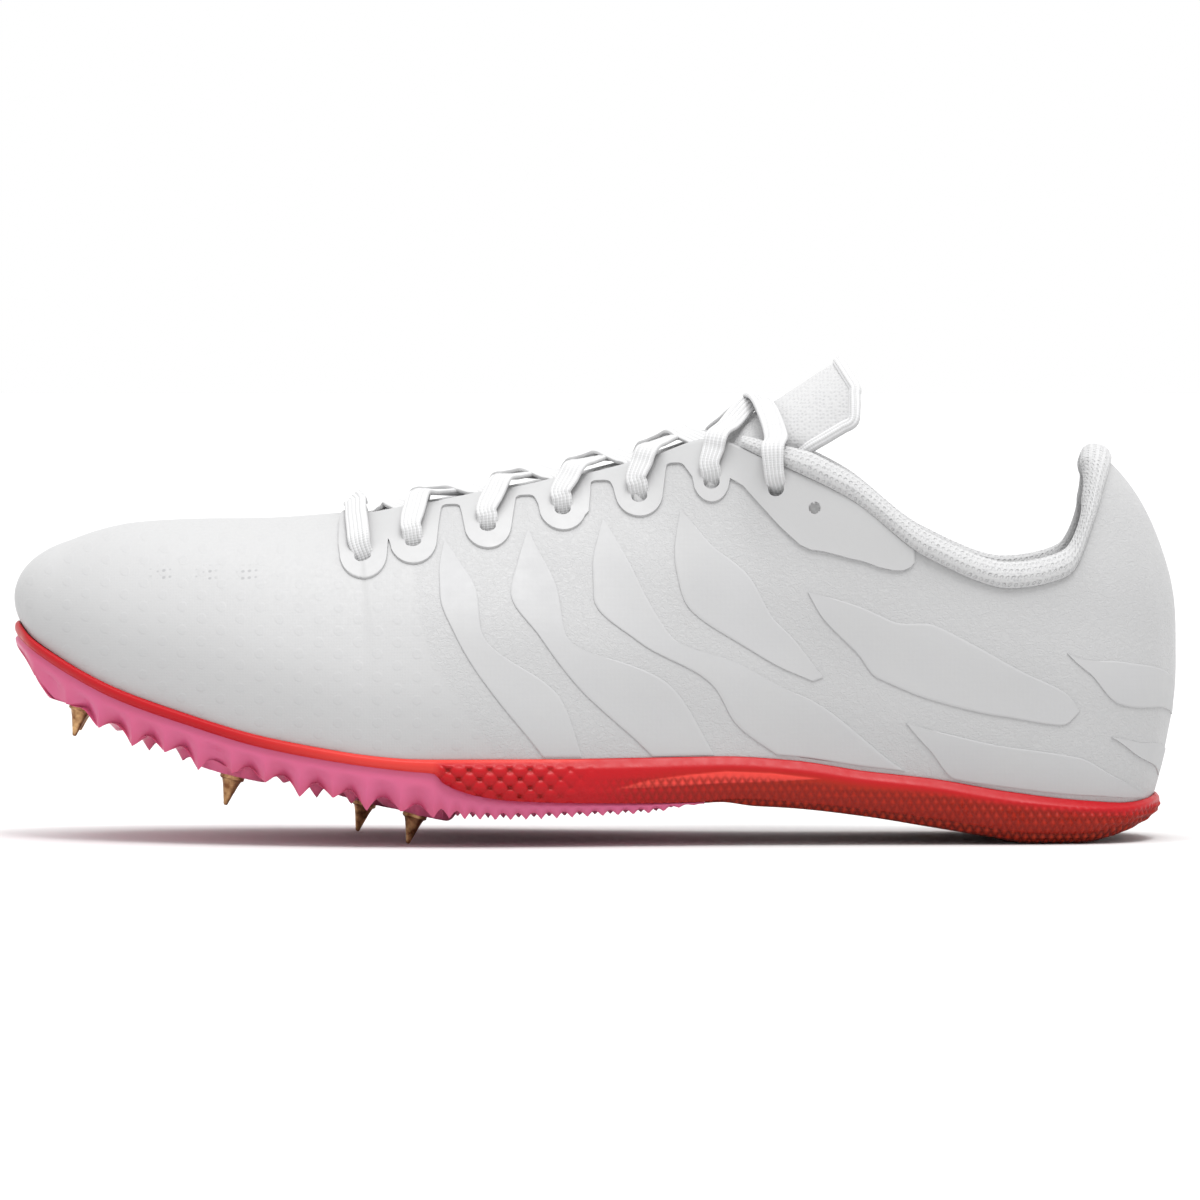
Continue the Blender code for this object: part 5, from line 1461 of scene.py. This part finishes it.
class SHOE_OT_midsole(bpy.types.Operator):
    """Foam midsole: a thin line over the plate, a domed nose, the coral strip and growing nubs, with painted
    highlight and painted shade.
    """

    bl_idname = "shoe.midsole"
    bl_label = "Midsole"

    def execute(self, context):
        looks = context.scene.shoe_looks
        levels = np.linspace(0, 1, 40)
        stand = Curve((0, 0.25, 0.5, 0.75, 1),
                      [(0.5, 0.0), (0.9, 0.8), (0.95, 0.95), (0.9, 0.9), (0.5, 0.4)])(levels)

        def offset(y):
            return SOLE_MARGIN * stand[None, :, 0] + side_swell(y) * stand[None, :, 1]

        places = sole_places(0.0, 1.0, 0.0010, SOLE_STEP, NOSE - 0.004)
        layer = SoleLayer(places, levels, offset, lambda y: foot_height(y) - SEAM,
                          lambda y: split_height(y) - GAP + SEAM, 5, 5)
        share, z = share_of(layer.points[..., 1]), layer.points[..., 2]
        depth = foot_height(layer.points[..., 1]) - z
        tone, light, strip = sole_tones(layer)
        bumps = domes(layer.run, z - DOME_FOOT, DOME_PITCH, DOME_RISE)
        room = smooth_step(0.0008, 0.0016, depth) * smooth_step(0.364, 0.372, share)
        room = room * (1 - smooth_step(0.44, 0.515, share))
        relief = 0.0011 * (bumps - 0.75) * room
        # Painted shade: pits marks the hollows between domes and nubs that the foam paints darker
        pits = (1 - bumps) * room
        start = np.interp(share, [0.47, 0.52, 0.70, 0.78, 0.94], [0.0040, 0.0036, 0.0036, 0.0026, 0.0010])
        room = smooth_step(0.0, 0.0022, depth - start) * smooth_step(0.46, 0.56, share)
        size = np.interp(share, [0.5, 0.7, 0.85], [0.00045, 0.00065, 0.00090])
        grain = nubs(layer.run, z, NUB_PITCH, NUB_RISE)
        relief = relief + size * (grain - 0.6) * room
        pits = np.maximum(pits, (1 - grain) * room)
        relief = relief + 0.00012 * strip * (nubs(layer.run, z, 0.0011, 0.0011) + 0.6)
        layer.points = layer.points + layer.away * np.where(layer.side, relief, 0.0)[..., None]
        groove = np.where(layer.side, pits, 0.0)
        foam = layer.lofted("midsole_foam", {"tone": tone, "light": light, "groove": groove}, 60)
        placed(foam, moulded_foam(looks), "foam_red", "midsole")
        return {"FINISHED"}


class SHOE_OT_heel_rubber(bpy.types.Operator):
    """Heel rubber covered in small pyramids"""

    bl_idname = "shoe.heel_rubber"
    bl_label = "Heel rubber"

    def execute(self, context):
        looks = context.scene.shoe_looks
        levels = np.linspace(0, 1, 18)
        stand = Curve((0, 0.35, 0.7, 0.88, 1),
                      [(0.5, 0.4, 0), (0.3, 0.28, 0), (0, 0, 0), (0, 0, 0.42), (0, 0, 1)])(levels)

        def offset(y):
            return (SOLE_MARGIN * stand[None, :, 0] + side_swell(y) * stand[None, :, 1]
                    - OUTSOLE_ROUND * stand[None, :, 2])

        places = sole_places(OUTSOLE_START - JOINT_OVERRUN, 1.0, SOLE_STEP, SOLE_STEP, 0.0)
        layer = SoleLayer(places, levels, offset, lambda y: split_height(y) - GAP, arch_height, 130, 3)
        share, z = share_of(layer.points[..., 1]), layer.points[..., 2]
        size = np.interp(share, [0.6, 0.7, 0.85], [0.00040, 0.00060, 0.00085])
        grain = nubs(layer.run, z, NUB_PITCH, NUB_RISE)
        wall = size * (grain - 0.6 - 0.4 * layer.down)
        floor = size * 1.3 * (nubs(layer.points[..., 0], layer.points[..., 1], 0.0022, 0.0022) - 1)
        relief = np.where(layer.kind == 1, floor, np.where(layer.side, wall, 0.0))
        layer.points = layer.points + layer.away * relief[..., None]
        # Painted shade: the grooves between the nubs, marked here to be painted darker
        groove = np.where(layer.side, 1 - grain, -relief / size / 1.3)
        rubber = layer.lofted("heel_rubber_nubs", {"groove": groove}, 60)
        placed(rubber, heel_rubber(looks), "rubber_orange", "heel_outsole")
        return {"FINISHED"}


def pin_base(pin):
    """Where a pin's flange meets the plate."""
    reach = PIN_HEIGHT + PIN_FLANGE
    back, up = math.sin(PIN_LEAN), math.cos(PIN_LEAN)
    return np.array([pin.side * BALL_WIDTH,
                     along(pin.place) + reach * back,
                     pin.tip * TOP_HEIGHT + reach * up + PIN_TIP_RADIUS * 0.5 * back])


class SHOE_OT_plate(bpy.types.Operator):
    """Spike plate, its side scooped out between faceted teeth and its underside a field of them"""

    bl_idname = "shoe.plate"
    bl_label = "Spike plate"

    def execute(self, context):
        looks = context.scene.shoe_looks
        levels = np.linspace(0, 1, 26)
        stand = Curve((0, 0.55, 1), [0.4, 0.9, 0.7])(levels)[:, 0]
        places = sole_places(FOOT[0].place, PLATE_END + JOINT_OVERRUN, 0.00050, 0.00042, NOSE)
        layer = SoleLayer(places, levels, lambda y: SOLE_MARGIN * stand[None, :] + 0 * y,
                          lambda y: split_height(y) - GAP, arch_height, 88, 4)
        y = layer.points[..., 1]
        share = share_of(y)
        start, turn = along(FOOT[0].place), along(NOSE)
        count = (np.minimum(y, turn) - start) / (TOOTH_PITCH / 2)
        count = count + np.maximum(y - turn, 0.0) / FINE_TOOTH_PITCH
        fine = smooth_step(NOSE - 0.004, NOSE + 0.008, share)
        uneven = 1 + 0.30 * np.sin(1.9 * count) + 0.15 * np.sin(0.7 * count + 1.0)
        size = (1 - fine) * TOOTH_HEIGHT * uneven + fine * FINE_TOOTH_HEIGHT * (1.7 - 3.6 * (share - NOSE))
        size = size * np.minimum(share / TOE_TAPER, 1.0)
        size = size * np.clip((PLATE_END + JOINT_OVERRUN - share) / 0.04, 0.1, 1.0)
        v = 8 * layer.across
        teeth = (tent((count + v) / 2) * tent((count - v) / 2)) ** 0.75
        ramp = smooth_step(0.30, 1.0, layer.down)
        drop = np.where(layer.side, ramp ** 1.4, 1.0) * size * teeth * (layer.kind != 3)
        depth = (1 - fine) * 0.0021 + fine * 0.0007
        scoop = np.where(layer.side, -depth * (1 - teeth) * ramp * np.minimum(share / TOE_TAPER, 1.0), 0.0)
        layer.points = layer.points + layer.away * scoop[..., None]
        layer.points[..., 2] -= drop
        under = (layer.kind == 1) | (layer.side & (layer.down > 0.7))
        for pin in PINS:
            base = pin_base(pin)
            flat = base[2] - (y - base[1]) * math.tan(PIN_LEAN) + GAP / 2
            far = np.hypot(layer.points[..., 0] - base[0], y - base[1])
            blend = np.clip((BOSS_RADIUS + TOOTH_HEIGHT - far) / TOOTH_HEIGHT, 0, 1) * under
            layer.points[..., 2] = layer.points[..., 2] * (1 - blend) + flat * blend
        # Painted highlight: edge marks the top of the plate's side, painted lighter
        edge = smooth_step(0.0, 0.35, 1 - layer.down) * layer.side
        plate = layer.lofted("spike_plate_teeth", {"edge": edge}, 24)
        placed(plate, moulded_plate(looks), "plate_pink", "spike_plate")
        return {"FINISHED"}


class SHOE_OT_pins(bpy.types.Operator):
    """Six screw-in pins, each a flange and a turned cone"""

    bl_idname = "shoe.pins"
    bl_label = "Pins"

    def execute(self, context):
        steel = plated_steel(context.scene.shoe_looks)
        r, tip, h, reach = PIN_RADIUS, PIN_TIP_RADIUS, PIN_FLANGE, PIN_FLANGE + PIN_HEIGHT
        profile = np.array([(0.0, 0.0), (PIN_FLANGE_RADIUS, 0.0), (PIN_FLANGE_RADIUS, h - 0.0003),
                            (PIN_FLANGE_RADIUS - 0.0003, h), (r + 0.0002, h), (r, h + 0.0003),
                            (0.8 * r, h + 0.0015), (0.55 * r, h + 0.0034),
                            (tip + 0.00005, reach - 0.0008), (tip, reach - 0.0005),
                            (0.8 * tip, reach - 0.0002), (0.45 * tip, reach), (0.0, reach)])
        turn = np.linspace(0, 2 * math.pi, 41)[:-1]
        for pin in PINS:
            base = pin_base(pin) + last.shift
            axis = np.array([0.0, -math.sin(PIN_LEAN), -math.cos(PIN_LEAN)])
            across = np.array([1.0, 0.0, 0.0])
            ring = across * np.cos(turn)[:, None] + np.cross(axis, across) * np.sin(turn)[:, None]
            points = base + profile[:, None, 1:2] * axis + profile[:, None, 0:1] * ring[None]
            turned = lofted(f"{pin.name}_pin", points, True, angle=35)
            placed(turned, steel, "pin_bronze", pin.name)
        return {"FINISHED"}


class SHOE_OT_insole(bpy.types.Operator):
    """Cloth-covered footbed"""

    bl_idname = "shoe.insole"
    bl_label = "Insole"

    def execute(self, context):
        bm = bmesh.new()
        bm.from_mesh(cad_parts["insole"].data)
        bmesh.ops.remove_doubles(bm, verts=bm.verts, dist=1e-6)
        bmesh.ops.join_triangles(bm, faces=bm.faces, angle_face_threshold=0.6, angle_shape_threshold=1.2)
        bmesh.ops.bevel(bm, geom=[e for e in bm.edges if e.calc_face_angle(0.0) > 0.9], offset=0.0006,
                        offset_type="OFFSET", segments=3, profile=0.5, affect="EDGES", material=-1)
        bmesh.ops.recalc_face_normals(bm, faces=bm.faces)
        placed(finished("footbed", bm), brushed_textile(context.scene.shoe_looks), "insole_grey", "insole")
        return {"FINISHED"}


class SHOE_OT_stage(bpy.types.Operator):
    """Pale floor, an even white room with two suns, and the camera at the photograph's angle"""

    bl_idname = "shoe.stage"
    bl_label = "Stage"

    def execute(self, context):
        scene = context.scene
        bm = bmesh.new()
        bmesh.ops.create_grid(bm, x_segments=1, y_segments=1, size=6.0)
        floor = finished("floor", bm)
        floor.location.z = -0.00005
        white = Nodes("pale_floor", (0.65, 0.65, 0.65), 0.9)
        floor.data.materials.append(white.material)
        world = bpy.data.worlds.new("studio")
        world.use_nodes = True
        world.node_tree.nodes["Background"].inputs["Color"].default_value = (1.0, 1.0, 1.0, 1.0)
        world.node_tree.nodes["Background"].inputs["Strength"].default_value = 1.0
        scene.world = world
        for name, spot, angle, power in (
                ("key", (0.50, 0.25, 1.5), 0.35, 1.2),
                ("top", (0.10, 0.0, 1.5), 1.0, 1.9)):
            lamp = bpy.data.objects.new(name, bpy.data.lights.new(name, "SUN"))
            lamp.data.energy = power
            lamp.data.angle = angle
            lamp.location = spot
            lamp.rotation_euler = (Vector((0, 0, 0.05)) - Vector(spot)).to_track_quat("-Z", "Y").to_euler()
            scene.collection.objects.link(lamp)
        camera = bpy.data.objects.new("camera", bpy.data.cameras.new("camera"))
        scene.collection.objects.link(camera)
        scene.camera = camera
        sizes = scene.shoe_sizes
        aim = Vector((0.0, 5 * PHOTO_SCALE, 238 * PHOTO_SCALE))
        back = Vector((math.cos(sizes.elevation), 0.0, math.sin(sizes.elevation)))
        camera.location = aim + back * CAMERA_DISTANCE
        camera.rotation_euler = (-back).to_track_quat("-Z", "Y").to_euler()
        camera.data.sensor_width = 36.0
        camera.data.lens = camera.data.sensor_width * CAMERA_DISTANCE / (PHOTO_SIZE * PHOTO_SCALE)
        camera.data.clip_start, camera.data.clip_end = 0.05, 60.0
        scene.view_settings.view_transform = "Standard"
        return {"FINISHED"}


class ShoeSizes(bpy.types.PropertyGroup):
    """Sizes that a user would change"""

    steps_round: IntProperty(name="Steps round", description="Facets round the upper", default=560, min=80)
    steps_up: IntProperty(name="Steps up", description="Facets up the wall", default=76, min=10)
    film: FloatProperty(name="Film", description="Height of the welded film", default=FILM, unit="LENGTH")
    panel_film: FloatProperty(name="Panel film", description="Height of the side panels", default=0.0003,
                              unit="LENGTH")
    elevation: FloatProperty(name="Elevation", description="The camera's angle above the floor",
                             default=math.radians(2.0), unit="ROTATION")


def colour(name, description, value):
    """A colour property."""
    return FloatVectorProperty(name=name, description=description, subtype="COLOR", size=3, min=0.0,
                               max=1.0, default=value)


class ShoeLooks(bpy.types.PropertyGroup):
    """Colours that a user would change"""

    upper_white: colour("Upper", "The upper's skin", (0.42, 0.42, 0.422))
    film_white: colour("Film", "The welded film", (0.425, 0.425, 0.427))
    knit_white: colour("Knit", "Collar, lining and tongue", (0.48, 0.48, 0.482))
    lace_white: colour("Lace", "The lace", (0.54, 0.54, 0.542))
    insole_grey: colour("Insole", "The footbed", (0.40, 0.40, 0.41))
    foam_red: colour("Foam", "The midsole", (0.41, 0.0035, 0.008))
    # This coral also paints the highlight on the foam's front line, lip and nose
    coral_strip_and_highlight: colour("Strip", "The light strip in the foam", (0.66, 0.050, 0.038))
    rubber_orange: colour("Rubber", "The heel rubber", (0.31, 0.013, 0.003))
    plate_pink: colour("Plate", "The spike plate", (0.50, 0.078, 0.150))
    pin_bronze: colour("Pins", "The pins", (0.19, 0.08, 0.032))


PIECES = ("upper", "eyestays", "panels", "collar", "tongue", "laces", "midsole", "heel_rubber", "plate",
          "pins", "insole", "stage")


class SHOE_PT_panel(bpy.types.Panel):
    """Buttons for each group of pieces"""

    bl_idname = "SHOE_PT_panel"
    bl_label = "Track Spike Shoe"
    bl_space_type = "VIEW_3D"
    bl_region_type = "UI"
    bl_category = "Shoe"

    def draw(self, context):
        for piece in PIECES:
            self.layout.operator(f"shoe.{piece}")


CLASSES = (ShoeSizes, ShoeLooks, SHOE_OT_upper, SHOE_OT_eyestays, SHOE_OT_panels, SHOE_OT_collar,
           SHOE_OT_tongue, SHOE_OT_laces, SHOE_OT_midsole, SHOE_OT_heel_rubber, SHOE_OT_plate, SHOE_OT_pins,
           SHOE_OT_insole, SHOE_OT_stage, SHOE_PT_panel)


def register():
    for each in CLASSES:
        bpy.utils.register_class(each)
    bpy.types.Scene.shoe_sizes = PointerProperty(type=ShoeSizes)
    bpy.types.Scene.shoe_looks = PointerProperty(type=ShoeLooks)


def unregister():
    del bpy.types.Scene.shoe_looks
    del bpy.types.Scene.shoe_sizes
    for each in reversed(CLASSES):
        bpy.utils.unregister_class(each)


def main():
    register()
    for piece in PIECES:
        getattr(bpy.ops.shoe, piece)()


if __name__ == "__main__":
    main()
